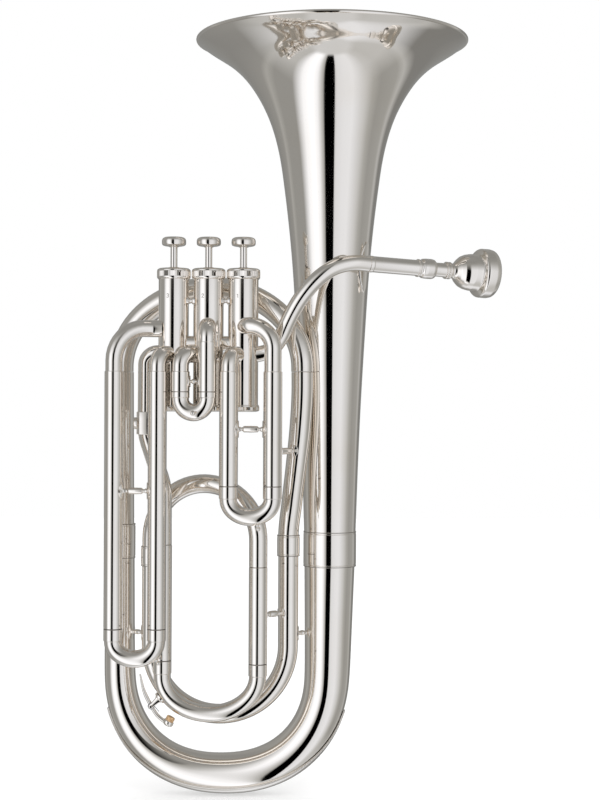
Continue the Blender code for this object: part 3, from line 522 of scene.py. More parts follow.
def silver_plate():
    """Polished silver with a little tarnish, smudges in its gloss and fine polishing marks."""
    bright, warm = (0.96, 0.905, 0.84), (0.93, 0.865, 0.785)
    material = bpy.data.materials.new("silver_plate")
    tree, shader = nodes_of(material)
    place = tree.nodes.new("ShaderNodeTexCoord").outputs["Object"]
    shader.inputs["Metallic"].default_value = 1.0
    tarnish = ramp(tree, noise(tree, place, 22.0), [(0.45, bright), (0.80, warm)])
    tree.links.new(tarnish, shader.inputs["Base Color"])
    gloss = ramp(tree, noise(tree, place, 55.0, 6.0), [(0.35, 0.035), (0.75, 0.085)])
    tree.links.new(gloss, shader.inputs["Roughness"])
    stretch = tree.nodes.new("ShaderNodeMapping")
    set_inputs(stretch, {"Scale": (1.0, 1.0, 14.0), "Rotation": (0.5, 0.3, 0.2)})
    tree.links.new(place, stretch.inputs["Vector"])
    marks = noise(tree, stretch.outputs["Vector"], 160.0, 3.0)
    add_bump(tree, shader, marks, 0.12, 0.00002)
    return material


def make_materials():
    dark_steel, light_steel = (0.42, 0.42, 0.43), (0.62, 0.62, 0.64)
    return {
        "silver_plate": silver_plate(),
        "spring_steel": grained("spring_steel", dark_steel, light_steel, 300.0, 0.25, 0.1, 1.0),
        "cork": grained("cork", (0.30, 0.17, 0.08), (0.66, 0.45, 0.25), 900.0, 0.85, 0.6),
        "felt": grained("felt", (0.10, 0.09, 0.09), (0.30, 0.28, 0.27), 2500.0, 0.95, 0.8),
        # dark metal for the engraved valve numbers and for the dark rings of painted shade at tube joints
        "engraving_and_joint_shade": grained("engraving_and_joint_shade", (0.16, 0.14, 0.12), (0.28, 0.25, 0.22), 600.0, 0.5, 0.3, 1.0),
    }


MATERIALS = make_materials()


def placed(name, data):
    """A new object in the scene."""
    obj = bpy.data.objects.new(name, data)
    bpy.context.scene.collection.objects.link(obj)
    return obj


def add(name, shape, body="horn", node=None, slot="silver_plate", paint=None, turn=TURN):
    """A visible piece that rides on a body and may stand for a node of the frame."""
    points, faces, alongs = shape
    mesh = bpy.data.meshes.new(name)
    mesh.from_pydata([(p + SHIFT) * MM for p in points], [], faces)
    bm = bmesh.new()
    bm.from_mesh(mesh)
    bmesh.ops.recalc_face_normals(bm, faces=bm.faces)
    bm.to_mesh(mesh)
    bm.free()
    mesh.shade_smooth()
    mesh.set_sharp_from_angle(angle=math.radians(38))
    if turn:
        normals = []
        for corner, normal in zip(mesh.loops, mesh.corner_normals):
            along, facing = alongs[corner.vertex_index], normal.vector
            normals.append((facing - along * (turn * facing.y * along.x)).normalized())
        mesh.normals_split_custom_set(normals)
    obj = placed(name, mesh)
    mesh.materials.append(MATERIALS[paint or slot])
    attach(obj, body)
    if node:
        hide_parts(node)
    return obj


def stand_in(node, shape, body="horn", slot="silver_plate", turn=TURN):
    """The visible piece for one node of the frame."""
    return add(f"{node}_look", shape, body, node, slot, turn=turn)


# ---- bell and large tubes


def bell_line():
    """The bell's outer side as (radius, height), evenly curved."""
    curve = spline([(radius, z, 0) for z, radius in BELL_OUTLINE], 12)
    return [p.xy for p in relaxed(curve, 14)]


BELL_LINE = bell_line()


def bell_radius(z):
    for low, high in zip(BELL_LINE, BELL_LINE[1:]):
        if low.y <= z <= high.y:
            return mixed(low.x, high.x, (z - low.y) / (high.y - low.y))
    return RIM_RADIUS


def bell():
    centre_r, centre_z = RIM_RADIUS - BEAD, RIM_Z - BEAD
    turns = [math.radians(-35 + 250 * i / 20) for i in range(21)]
    bead = [Vector((centre_r + BEAD * math.cos(t), centre_z + BEAD * math.sin(t))) for t in turns]
    inside = []
    for before, here, after in zip(BELL_LINE, BELL_LINE[1:], BELL_LINE[2:]):
        ahead = (after - before).normalized()
        inside.append(here + Vector((-ahead.y, ahead.x)) * BELL_WALL)
    inside = [Vector((BELL_LINE[0].x - BELL_WALL, BELL_LINE[0].y)), *inside]
    outline = [*BELL_LINE, *bead, *inside[::-1]]
    stand_in("bell", turned(outline, (BELL_X, 0, 0), sides=BELL_SIDES))


def painted_joint_shade(name, place, radius, height=JOINT_SHADE_HEIGHT, body="horn"):
    """A dark ring of painted shade where one tube ends on another, standing for the shadow in the gap of the
    joint.
    """
    outline = [(radius - 0.4, 0.0), (radius, 0.0), (radius, height), (radius - 0.4, height)]
    add(name, turned(outline, place), body, paint="engraving_and_joint_shade")


def band(node, x, y, low, high, radius, thick):
    """A ferrule with a fine groove near each end and a dark ring of painted shade where it ends."""
    inside = radius + 0.05
    outside = radius + GAP + thick
    edge, depth, width = 1.2, 0.28, 0.55
    half = [(inside, 0.0), (outside, 0.0), (outside, edge), (outside - depth, edge)]
    half += [(outside - depth, edge + width), (outside, edge + width)]
    stand_in(node, turned(softened(mirrored(half, low, high), 0.35), (x, y, 0)))
    inset, height = 0.12, 0.4
    # dark rings of painted shade at both ends of the ferrule
    for end, z in (("low", low + inset), ("high", high - inset - height)):
        painted_joint_shade(f"{node}_{end}_line", (x, y, z), outside + 0.03, height)


def bow_middle():
    reach = (BOW_TOP_X - LEFT_X) / 2
    return Vector(((BOW_TOP_X + LEFT_X) / 2, 0, BOW_BOTTOM_Z + reach)), reach


def bow_bend(steps=64):
    """The bend of the bottom bow as (point, outer radius), from the bell's side to the left."""
    middle, reach = bow_middle()
    _, start, bottom, end, _ = BOW_RADII
    bend = []
    for i in range(steps + 1):
        across, down = math.cos(math.pi * i / steps), math.sin(math.pi * i / steps)
        full = Vector((math.copysign(abs(across) ** BOW_SQUARE, across), 0, -(down**BOW_SQUARE)))
        share = 2 * i / steps
        blend = min(max((share - 0.8) / 0.4, 0.0), 1.0)
        blend = blend * blend * (3 - 2 * blend)
        radius = mixed(mixed(start, bottom, share), mixed(bottom, end, share - 1), blend)
        bend.append((middle + full * reach, radius))
    return bend


def bow_stations():
    """The bottom bow with its legs, whose radius changes smoothly along them."""
    bend = bow_bend()
    (top, start), (left, end) = bend[0], bend[-1]
    right_end = Vector((BELL_X, 0, BELL_END_Z - 2 * GAP))
    left_end = Vector((LEFT_X, 0, LEFT_JOINT_Z - 0.15))
    legs = []
    ends = [(right_end, top, BOW_RADII[0], start), (left_end, left, BOW_RADII[-1], end)]
    for outer, inner, wide, narrow in ends:
        shares = [i / 8 for i in range(8)]
        legs.append([(mixed(outer, inner, t), mixed(wide, narrow, t)) for t in shares])
    whole = [*legs[0], *bend, *legs[1][::-1]]
    line = relaxed([p for p, _ in whole], 6)
    radii = relaxed([r for _, r in whole], 10)
    return [(p, r, r - BELL_WALL) for p, r in zip(line, radii)]


def bow_guard():
    """The thin plate on the outer side of the bottom bow, with a wire along each edge."""
    stations = bow_stations()[14:67]
    middle, _ = bow_middle()
    line = [point for point, _, _ in stations]
    outs = [(point - middle).normalized() for point in line]
    count = len(line) - 1
    halves = [18 + 36 * math.sin(math.pi * i / count) for i in range(count + 1)]
    radii = [radius + 0.05 for _, radius, _ in stations]
    guard = plate(line, outs, radii, halves, thick=1.0)
    wires = []
    for side in (-1, 1):
        edge = []
        for i, (point, out, radius, half) in enumerate(zip(line, outs, radii, halves)):
            across = tangent(line, i).cross(out)
            turn = math.radians(half - 3.0) * side
            arm = out * math.cos(turn) + across * math.sin(turn)
            edge.append((point + arm * (radius + 0.95), 0.45))
        wires.append(rod(edge, sides=10))
    stand_in("bow_guard", joined(guard, *wires))


def left_leg_and_top_bow():
    leg = [Vector((LEFT_X, 0, LEFT_JOINT_Z + 0.15)), Vector((LEFT_X, 0, TOP_JOINT_Z - GAP))]
    stand_in("left_leg", pipe(even(leg, *LEFT_LEG_RADII), WIDE_SIDES))
    right_x, right_y = TOP_RIGHT
    half = (right_x - LEFT_X) / 2
    arch = half_ellipse((LEFT_X + half, 0, TOP_Z), (-half, 0, 0), (0, 0, TOP_RISE), 56)
    for point in arch:
        point.y = right_y * ((point.x - LEFT_X) / (right_x - LEFT_X)) ** 2
    arch = [Vector((LEFT_X, 0, TOP_JOINT_Z)), *arch, Vector((right_x, right_y, TOP_JOINT_Z))]
    stand_in("top_bow", pipe(even(arch, *TOP_BOW_RADII), WIDE_SIDES))


def right_branch():
    line = [(INNER_RIGHT_X, INNER_Y, BRANCH_JOINT_Z), (INNER_RIGHT_X, INNER_Y, 199.0)]
    line += [(-7.6, -15.6, 222.0), (-4.4, -19.0, 250.0), (-1.4, -23.2, 280.0)]
    line += [(*TOP_RIGHT, 306.0), (*TOP_RIGHT, TOP_JOINT_Z - GAP)]
    stand_in("right_branch", pipe(even(spline(line, 8), BRANCH_RADII[1], BRANCH_RADII[0])))


def inner_bow():
    half = (INNER_RIGHT_X - INNER_LEFT_X) / 2
    centre = (INNER_LEFT_X + half, INNER_Y, INNER_BOTTOM_Z + half)
    line = [Vector((INNER_RIGHT_X, INNER_Y, BRANCH_JOINT_Z - GAP))]
    line += half_ellipse(centre, (half, 0, 0), (0, 0, -half), 48)
    line += [Vector((INNER_LEFT_X, INNER_Y, INNER_JOINT_Z - 0.15))]
    stand_in("inner_bow", pipe(even(line, *INNER_RADII)))


def tuning_top_arc():
    """The tube from the inner bow over to the tuning slide's right sleeve."""
    high_left = (INNER_LEFT_X, INNER_Y, ARC_TOP_Z)
    high_right = (TUNING_X["right"], VALVE_Y, ARC_TOP_Z)
    low_right = (TUNING_X["right"], VALVE_Y, TUNING_SLEEVES["right"][0] + GAP)
    fillet = (Vector(high_left) - Vector(high_right)).length / 2 - 0.05
    low_left = (INNER_LEFT_X, INNER_Y, INNER_JOINT_Z + 0.15)
    line = rounded([low_left, high_left, high_right, low_right], (fillet,) * 2, 18)
    stand_in("tuning_top_arc", pipe(even(line, ARC_RADIUS + 0.4, ARC_RADIUS)))


def large_tubes():
    bell()
    stand_in("bottom_bow", pipe(bow_stations(), WIDE_SIDES))
    bow_guard()
    left_leg_and_top_bow()
    right_branch()
    inner_bow()
    tuning_top_arc()
    band("bell_ferrule", BELL_X, 0, 173.7, 200.3, 19.5, 0.25)
    band("left_leg_ferrule", LEFT_X, 0, 179.2, 205.4, 10.9, 0.35)
    band("branch_ferrule", INNER_RIGHT_X, INNER_Y, 182.4, 198.4, 7.7, 0.5)
    band("inner_bow_ferrule", INNER_LEFT_X, INNER_Y, 174.5, 189.5, 7.25, 0.5)


# ---- valves


def on_casing(number, degrees, z):
    """A point on a casing's wall, this far round from the front towards the mouthpiece."""
    turn = math.radians(degrees)
    across, back = CASING_RADIUS * math.sin(turn), -CASING_RADIUS * math.cos(turn)
    return Vector((VALVE_X[number] + across, VALVE_Y + back, z))


def numeral(number):
    """The valve's number as fine strokes on its casing: points are (across, up) in millimetres."""
    two = [(-1.2, 1.2), (-0.8, 2.0), (0.0, 2.3), (0.9, 1.9), (1.1, 1.1), (0.4, 0.0)]
    two += [(-1.3, -2.2), (1.3, -2.2)]
    upper = [(-1.2, 1.5), (-0.5, 2.2), (0.5, 2.2), (1.1, 1.3), (0.6, 0.3), (0.0, 0.1)]
    lower = [(0.0, 0.1), (0.9, -0.3), (1.2, -1.2), (0.6, -2.1), (-0.5, -2.2), (-1.2, -1.5)]
    strokes = {1: [[(-0.9, 1.2), (0.0, 2.2), (0.0, -2.2)]], 2: [two], 3: [upper, lower]}
    z, turn = NUMERAL_PLACE
    wires = []
    for stroke in strokes[number]:
        line = []
        for across, up in stroke:
            degrees = turn + math.degrees(NUMERAL_SIZE * across / CASING_RADIUS)
            line.append((on_casing(number, degrees, z + NUMERAL_SIZE * up), 0.2))
        wires.append(rod(line, sides=8))
    return joined(*wires)


def casing_and_caps(number, centre):
    low, high = CASING
    outline = [(CASING_BORE, low), (CASING_RADIUS, low), (CASING_RADIUS, high), (CASING_BORE, high)]
    stand_in(f"valve_casing_{number}", turned(softened(outline, 0.3), centre))
    skirt, cap, stem = CASING_RADIUS + 0.05, CAP_RADIUS, STEM_RADIUS + 0.5
    upper = [(skirt, 388.7), (cap - 0.9, 388.9), (cap - 0.1, 389.9), (cap - 0.1, 390.5), (cap, 390.7)]
    upper += [(cap, 394.7), (cap - 0.1, 394.9), (cap - 0.2, 395.9), (cap - 1.6, 396.9), (stem, 397.0)]
    upper += [(stem, 391.7), (skirt, 391.7)]
    shape = turned(softened(upper, 0.4), centre, sides=KNURL_SIDES, knurl=(390.7, 394.7))
    stand_in(f"top_cap_{number}", shape)
    wide, hole, top = BOTTOM_CAP_RADIUS, 1.6, low - GAP
    lower = [(hole, 290.9), (wide - 2.4, 290.9), (wide - 0.7, 291.3), (wide, 292.0), (wide, 294.4)]
    lower += [(wide - 0.1, 294.6), (wide - 0.3, 295.8), (skirt, 295.9), (skirt, top), (hole, top)]
    shape = turned(softened(lower, 0.3), centre, sides=KNURL_SIDES, knurl=(292.0, 294.4))
    stand_in(f"bottom_cap_{number}", shape)


def piston_and_button(number, centre):
    body = f"valve_{number}"
    low, high = PISTON
    outline = [(PISTON_RADIUS - 0.4, low), (PISTON_RADIUS, low + 0.4), (PISTON_RADIUS, high - 0.4)]
    outline += [(PISTON_RADIUS - 0.5, high), (4.5, high + 0.8), (STEM_RADIUS, high + 1.6)]
    outline += [(STEM_RADIUS, BUTTON[0] + 3.2)]
    stand_in(f"piston_{number}", solid(outline, centre), body)
    low, high = BUTTON
    wide, socket = BUTTON_RADIUS, STEM_RADIUS + 0.05
    outline = [(socket, low + 0.9), (3.6, low + 0.9), (3.9, low + 1.5), (wide - 2.2, low + 1.6)]
    outline += [(wide - 0.4, low + 2.3), (wide, low + 3.6), (wide, high - 2.4), (wide - 0.6, high - 0.9)]
    outline += [(wide - 2.2, high - 0.1), (6.3, high), (5.9, high - 0.35), (0.4, high - 0.25)]
    outline += [(0.4, low + 3.6), (socket, low + 3.6)]
    stand_in(f"finger_button_{number}", turned(softened(outline, 1.1, steps=6), centre), body)


def valve(number):
    centre = (VALVE_X[number], VALVE_Y, 0)
    casing_and_caps(number, centre)
    piston_and_button(number, centre)
    hole = STEM_RADIUS + 0.1
    washer = softened([(hole, 397.05), (3.9, 397.05), (3.9, 397.7), (hole, 397.8)], 0.2)
    add(f"cap_felt_{number}", turned(washer, centre), paint="felt")
    add(f"valve_number_{number}", numeral(number), paint="engraving_and_joint_shade")
    spring(number)


def spring(number):
    """The coil under a piston, built at its full length with a mesh of its own; the real coil is squeezed as
    the piston goes down.
    """
    x, wire, steps = VALVE_X[number], 0.5, 32
    base, top = CASING[0] + 0.6, PISTON[0] - 0.9
    count = SPRING_TURNS * steps
    line = []
    for i in range(count + 1):
        angle = 2 * math.pi * i / steps
        across, back = SPRING_RADIUS * math.cos(angle), SPRING_RADIUS * math.sin(angle)
        line.append((Vector((x + across, VALVE_Y + back, mixed(base, top, i / count))), wire))
    coil = stand_in(f"valve_spring_{number}", rod(line, sides=10), slot="spring_steel")
    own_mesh(coil)


def between_casings(left, right):
    """The air passage and the small turned spool that tie two casings together."""
    number = f"{right}_{left}"
    ends = (VALVE_X[left] + CASING_BORE + 0.1, VALVE_X[right] - CASING_BORE - 0.1)
    line = [(Vector((x, VALVE_Y, CONNECTOR_Z)), 5.4, 4.8) for x in (ends[0], sum(ends) / 2, ends[1])]
    stand_in(f"connector_{number}", pipe(line))
    middle = (VALVE_X[left] + VALVE_X[right]) / 2
    reach = (VALVE_X[right] - VALVE_X[left]) / 2 - CASING_RADIUS + 1.4
    spool = mirrored([(2.8, 0), (2.8, reach - 1.3), (1.7, reach - 0.9)], -reach, reach)
    place = (middle, VALVE_Y - 5.0, SPOOL_Z)
    add(f"casing_spool_{number}", solid(spool, place, (1, 0, 0), fillet=0.4))


# ---- slides


def sleeve(number, side, knuckle, fillets, leg_x, top, bottom):
    """A slide's outer tube, with the knuckle that joins it to its casing."""
    line = rounded([*knuckle, (leg_x, SLIDE_Y, top)], fillets)
    line = outside_casing(line, number)[::-1]
    bore = KNUCKLE_RADIUS - TUBE_WALL
    wide, narrow = SLEEVE_RADIUS, KNUCKLE_LOOK_RADIUS
    levels = [(bottom, wide, SLEEVE_BORE), (bottom + 0.9, wide, SLEEVE_BORE), (top - 1.6, wide, SLEEVE_BORE)]
    levels += [(top - 0.8, wide, bore), (top - 0.3, wide, bore), (top, wide - 0.3, bore), (top, narrow, bore)]
    knuckle = [(p, narrow, bore) for p in line[1:]]
    stand_in(f"slide_{number}_sleeve_{side}", pipe(upright(leg_x, SLIDE_Y, levels) + knuckle))


def valve_slide_sleeves():
    plans = {
        (1, "right"): ([(-43.0, -37.0), (-40.6, -50.2)], (3.0, 17.0), HIGH_PORT_Z),
        (1, "left"): ([(-46.5, -37.0)], (9.0,), LOW_PORT_Z),
        (2, "right"): ([(-69.8, -38.0)], (9.0,), HIGH_PORT_Z),
        (2, "left"): ([(-72.8, -36.0)], (9.0,), LOW_PORT_Z),
        (3, "right"): ([(-97.1, -38.2)], (9.0,), LOW_PORT_Z),
        (3, "left"): ([(-97.6, -36.4), (-112.0, -37.3)], (12.0, 24.0), HIGH_PORT_Z - 2),
    }
    for (number, side), (start, fillets, z) in plans.items():
        leg_x = SLIDES[number]["legs"][side == "right"]
        knuckle = [(x, y, z) for x, y in start] + [(leg_x, SLIDE_Y, z)]
        top = SLIDE_2_RIGHT_TOP_Z if (number, side) == (2, "right") else SLEEVE_TOP_Z
        sleeve(number, side, knuckle, fillets, leg_x, top, SLIDES[number]["sleeve"])


def slide_stations(xs, y, tops, sleeves, ferrules_end, crook, start, steps=36):
    """Inner tubes, ferrules and crook, from the left leg to the right leg."""
    bore = INNER_TUBE_RADIUS - TUBE_WALL
    narrow, wide = INNER_TUBE_RADIUS, SLEEVE_RADIUS
    legs = []
    for x, top, bottom, end in zip(xs, tops, sleeves, ferrules_end):
        low = bottom - 0.55
        levels = [(top, narrow), (low, narrow), (low, wide - 0.1), (low - 0.1, wide)]
        levels += [(end + 0.35, wide), (end, wide - 0.35), (end, CROOK_RADIUS)]
        legs.append(upright(x, y, [(z, outer, bore) for z, outer in levels]))
    half = (xs[1] - xs[0]) / 2
    bend = half_ellipse((xs[0] + half, y, start), (-half, 0, 0), (0, 0, crook - start), steps)
    return [*legs[0], *[(p, CROOK_RADIUS, bore) for p in bend], *legs[1][::-1]]


def slide_joint_shades(slide, xs, y, sleeves):
    """A dark ring of painted shade above each ferrule of a slide, where its sleeve ends."""
    for side, x, z in zip(("left", "right"), xs, sleeves):
        painted_joint_shade(f"{slide}_{side}_line", (x, y, z - 0.5), SLEEVE_RADIUS - 0.12, body=slide)


def knob(place, way, size, slide):
    """A turned pull knob that stands on a slide's crook."""
    neck = 1.0
    outline = [(size * 0.85, -0.6), (size * 0.85, 0.5), (neck, 1.1), (neck, 1.8)]
    turns = [math.pi * i / 12 for i in range(1, 12)]
    outline += [(max(size * math.sin(t), 0.05), 1.4 + size * (1 - math.cos(t))) for t in turns]
    add(f"{slide}_knob", solid(outline, place, way, sides=32), slide)


def valve_slide(number):
    plan = SLIDES[number]
    legs, ferrule, slide = plan["legs"], plan["ferrule"], f"slide_{number}"
    sleeves = (plan["sleeve"],) * 2
    tops = [plan["sleeve"] + reach for reach in plan["reach"]]
    stations = slide_stations(legs, SLIDE_Y, tops, sleeves, (ferrule,) * 2, plan["crook"], ferrule - 0.4)
    stand_in(slide, pipe(stations), slide)
    slide_joint_shades(slide, legs, SLIDE_Y, sleeves)


def tuning_slide():
    legs = (TUNING_X["left"], TUNING_X["right"])
    sleeves = (TUNING_SLEEVES["left"][1], TUNING_SLEEVES["right"][1])
    tops = [z + TUNING_REACH for z in sleeves]
    stations = slide_stations(legs, VALVE_Y, tops, sleeves, TUNING_FERRULES, CROOK_BOTTOM_Z, CROOK_START_Z)
    stand_in("tuning_slide", pipe(stations), "tuning_slide")
    slide_joint_shades("tuning_slide", legs, VALVE_Y, sleeves)
    for side, (top, bottom) in TUNING_SLEEVES.items():
        levels = [(z, SLEEVE_RADIUS, SLEEVE_BORE) for z in (top, top - 9, bottom)]
        stand_in(f"tuning_sleeve_{side}", pipe(upright(TUNING_X[side], VALVE_Y, levels)))


def exit_tube():
    """The tube from the third valve down to the tuning slide's left sleeve."""
    path = [(-101.0, LOW_PORT_Z + 1), (EXIT_X, LOW_PORT_Z + 1), (EXIT_X, 274.0)]
    path += [(TUNING_X["left"], 236.0), (TUNING_X["left"], TUNING_SLEEVES["left"][0] + GAP)]
    line = outside_casing(rounded([(x, VALVE_Y, z) for x, z in path], (8.5, 40.0, 40.0), 16), 3)
    stand_in("valve_3_exit_tube", pipe(even(line, KNUCKLE_RADIUS, 6.7)))


# ---- water key


def key_saddle():
    ahead = (KEY_PIVOT - KEY_FOOT).normalized()
    side = Vector((0, 1, 0))
    up = ahead.cross(side)
    reach = (KEY_PIVOT - KEY_FOOT).length
    start = CROOK_RADIUS - 0.4
    outline = [(4.6, start - 1.2), (4.6, start + 0.5), (3.2, start + 1.2), (2.4, start + 2.4)]
    foot = solid(outline, KEY_FOOT, ahead, fillet=0.4)
    bridge = solid([(2.6, start + 0.6), (2.6, start + 2.0)], KEY_FOOT, ahead)
    widths = [(start + 0.8, 2.6), (start + 2.6, 2.1), (reach - 1.8, 1.6)]
    widths += [(reach, 1.9), (reach + 1.6, 1.2), (reach + 1.9, 0.5)]
    turns = circle(20)
    ears = []
    for way in (-1, 1):
        rows = []
        for along, half in widths:
            centre = KEY_FOOT + ahead * along + side * (2.6 * way)
            rows.append([centre + up * (half * math.cos(t)) + side * (0.65 * math.sin(t)) for t in turns])
        ears.append(loft(rows, [ahead] * len(rows), closed=False))
    stand_in("water_key_saddle", joined(foot, bridge, *ears), "tuning_slide")


def key_lever():
    across = (0, 1, 0)
    seat = KEY_SEAT + KEY_OUT * CROOK_RADIUS
    bends = [(-8.4, 0, 23.6), (-5.4, 0, 11.0), (0, 0, 0), (4.0, 0, -6.4)]  # from the pivot
    curve = spline([*[KEY_PIVOT + Vector(bend) for bend in bends], seat + KEY_OUT * 6.2], 8)
    last = len(curve) - 1
    arm = [(p, mixed(0.6, 1.45, min(3 * i / last, 1.0))) for i, p in enumerate(curve)]
    pin = mirrored([(0.05, 0.0), (0.9, 0.1), (0.9, 0.6), (0.65, 0.7)], -4.5, 4.5)
    barrel = softened([(0.7, -1.8), (1.9, -1.8), (1.9, 1.8), (0.7, 1.8)], 0.3)
    disc = [(3.0, 3.6), (3.7, 3.6), (3.95, 4.2), (3.95, 6.0), (3.5, 6.9), (1.9, 7.7), (0.1, 7.9)]
    shapes = [rod(arm, sides=24), solid(pin, KEY_PIVOT, across, 24), turned(barrel, KEY_PIVOT, across)]
    shapes.append(solid(disc, seat, KEY_OUT, fillet=0.35))
    stand_in("water_key", joined(*shapes), "water_key")
    pad = solid([(2.7, 0.3), (3.2, 0.5), (3.2, 3.6)], seat, KEY_OUT, fillet=0.3)
    stand_in("water_key_cork", pad, "water_key", "cork")


def key_spring():
    """Three loops of wire round the water key's pivot, and one straight end."""
    radius, wire, steps, loops = 2.295, 0.28, 20, 3
    count = loops * steps
    line = []
    for i in range(count + 1):
        turn = 2 * math.pi * i / steps
        place = Vector((radius * math.cos(turn), mixed(-1.7, -0.2, i / count), radius * math.sin(turn)))
        line.append((KEY_PIVOT + place, wire))
    line.append((KEY_PIVOT + Vector((5.8, -0.1, -4.2)), wire))
    add("water_key_spring", rod(line, sides=8), "tuning_slide", slot="spring_steel")


def water_key():
    key_saddle()
    key_lever()
    key_spring()


# ---- leadpipe and mouthpiece


def mouth_direction():
    x = math.cos(MOUTH_SWING) * math.cos(MOUTH_DROP)
    return Vector((x, math.sin(MOUTH_SWING), -math.sin(MOUTH_DROP))).normalized()


def leadpipe_and_receiver():
    direction = mouth_direction()
    start = RECEIVER_START - direction * GAP
    line = [start, start - direction * 12.0]
    line += [(20.8, -48.0, 396.2), (8.3, -48.4, 386.2), (-2.2, -46.4, 373.5), (-10.4, -42.6, 358.8)]
    line += [(-16.6, -38.6, 345.0), (-24.4, -35.0, 336.0), (-36.0, VALVE_Y, LOW_PORT_Z)]
    curve = outside_casing(relaxed(spline(line, 8), 8)[::-1], 1)[::-1]
    stand_in("leadpipe", pipe(even(curve, LEADPIPE_RADIUS, LEADPIPE_RADIUS - 0.1)), turn=0)
    end = RECEIVER_LENGTH
    outline = [(4.5, -0.2), (6.15, -0.2), (6.15, 2.4), (5.95, 2.8), (5.95, end - 14.2), (6.7, end - 14.0)]
    outline += [(6.7, end - 12.8), (5.95, end - 12.5), (6.2, end - 11.2), (7.2, end - 10.0)]
    outline += [(7.5, end - 7.4), (7.5, end - 2.6), (7.1, end - 0.8), (6.4, end), (5.45, end)]
    outline += [(4.5, end - 26)]
    stand_in("mouthpiece_receiver", turned(softened(outline, 0.35), RECEIVER_START, direction), turn=0)


def mouthpiece():
    direction = mouth_direction()
    face = MOUTHPIECE_OUT
    outside = [(4.25, -24.0), (5.2, 0.0), (5.3, 9.0), (6.5, 9.3), (6.5, 10.9), (5.9, 11.1), (5.9, 11.6)]
    outside += [(6.5, 11.8), (6.5, 13.2), (5.6, 13.6), (5.5, 15.4), (6.6, 17.2), (9.2, 19.4), (11.6, 22.2)]
    outside += [(13.0, 25.5), (13.8, 29.5), (14.0, 33.5), (14.2, 35.4), (15.6, 36.1), (17.6, 36.9)]
    outside += [(18.5, 38.4), (18.6, 44.6), (18.0, face - 1.6), (16.9, face - 0.3), (15.8, face)]
    inside = [(14.4, face - 0.6), (13.2, face - 2.6), (12.8, face - 6.0), (12.0, face - 12.0)]
    inside += [(9.9, face - 17.5), (6.8, face - 21.6), (3.6, face - 24.6), (3.0, face - 27.0)]
    inside += [(3.1, face - 33.0), (3.6, -24.0)]
    mouth = RECEIVER_START + direction * RECEIVER_LENGTH
    cup = turned(softened(outside + inside, 0.6, steps=5), mouth, direction, 72)
    stand_in("mouthpiece", cup, "mouthpiece", turn=0)


# ---- braces and lyre holder


def braces():
    """Each stay: the axis and radius of the tube at either end, then its feet and thickness."""
    (left_1, right_1), (left_2, right_2), (left_3, right_3) = [plan["legs"] for plan in SLIDES.values()]
    wide = SLEEVE_RADIUS
    inner_left, inner_right = (INNER_LEFT_X, INNER_Y, 124.0), (INNER_RIGHT_X, INNER_Y, 124.0)
    tuning_right, behind = (TUNING_X["right"], VALVE_Y, 140.0), (INNER_RIGHT_X, INNER_Y, 140.0)
    across_1 = ((left_1, SLIDE_Y, 278.3), wide, (right_1, SLIDE_Y, 278.3), wide)
    across_2 = ((left_2, SLIDE_Y, 313.0), wide, (right_2, SLIDE_Y, 313.0), wide)
    across_3 = ((left_3, SLIDE_Y, 232.9), wide, (right_3, SLIDE_Y, 232.9), wide)
    plans = {
        "slide_1_stay": across_1,
        "slide_3_stay": (*across_3, (6.6, 6.2)),
        "branch_stay": ((right_1, SLIDE_Y, 262.0), wide, (-3.2, -20.7, 262.0), 8.1, (6.2, 4.6)),
        "left_stay": ((LEFT_X, 0, 124.0), 11.0, inner_left, 7.3, (6.2, 6.2), 1.8),
        "tuning_stay": (tuning_right, wide, behind, 7.6, (3.4, 4.4)),
        "bell_stay": (inner_right, 7.6, (BOW_TOP_X + 0.4, 0, 124.0), 17.7, (5.6, 4.0), 1.9),
    }
    for node, plan in plans.items():
        stand_in(node, brace(*plan))
    add("slide_2_brace", brace(*across_2, (4.2, 4.2), ball=1.9))


def leadpipe_stay():
    """A leaf laid against the bell, and the post from it to the leadpipe."""
    post_x, post_z, leaf_half, count = 45.0, 400.0, 19, 24
    turn = math.radians(-31)
    out = Vector((math.cos(turn), math.sin(turn), 0))
    heights = [post_z - leaf_half + 2 * leaf_half * i / count for i in range(count + 1)]
    line = [Vector((BELL_X, 0, z)) for z in heights]
    halves = [1.2 + 13 * math.sin(math.pi * i / count) ** 0.8 for i in range(count + 1)]
    radii = [bell_radius(z) + 0.05 for z in heights]
    leaf = plate(line, [out] * (count + 1), radii, halves, thick=0.8)
    direction = mouth_direction()
    top = RECEIVER_START + direction * ((post_x - RECEIVER_START.x) / direction.x)
    back = Vector((BELL_X, 0, top.z)) + out * (bell_radius(post_z) + 0.6)
    way = (back - top).normalized()
    reach = (back - top).length
    outline = [(3.4, 5.3), (3.6, 6.4), (3.0, 7.0), (1.6, 7.8), (1.5, 9.5), (2.5, mixed(9.5, reach, 0.5))]
    outline += [(1.5, reach - 3.0), (1.8, reach - 1.6), (3.4, reach - 0.6), (3.6, reach + 0.6)]
    stand_in("leadpipe_stay", joined(leaf, solid(outline, top, way, fillet=0.8)))


def rounded_box(centre, half, radius):
    """A block with rounded edges, as a stack of rounded rectangles."""
    half = Vector(half)
    rows = []
    for level in [math.radians(-90 + 180 * i / 12) for i in range(13)]:
        z = 0.0
        if abs(level) > 1e-6:
            z = math.copysign(half.z - radius, math.sin(level)) + radius * math.sin(level)
        edge = radius * math.cos(level)
        row = []
        for turn in circle(32):
            x = math.copysign(half.x - radius, math.cos(turn)) + edge * math.cos(turn)
            y = math.copysign(half.y - radius, math.sin(turn)) + edge * math.sin(turn)
            row.append(centre + Vector((x, y, z)))
        rows.append(row)
    return loft(rows, [Vector((1, 0, 0))] * len(rows), closed=False)


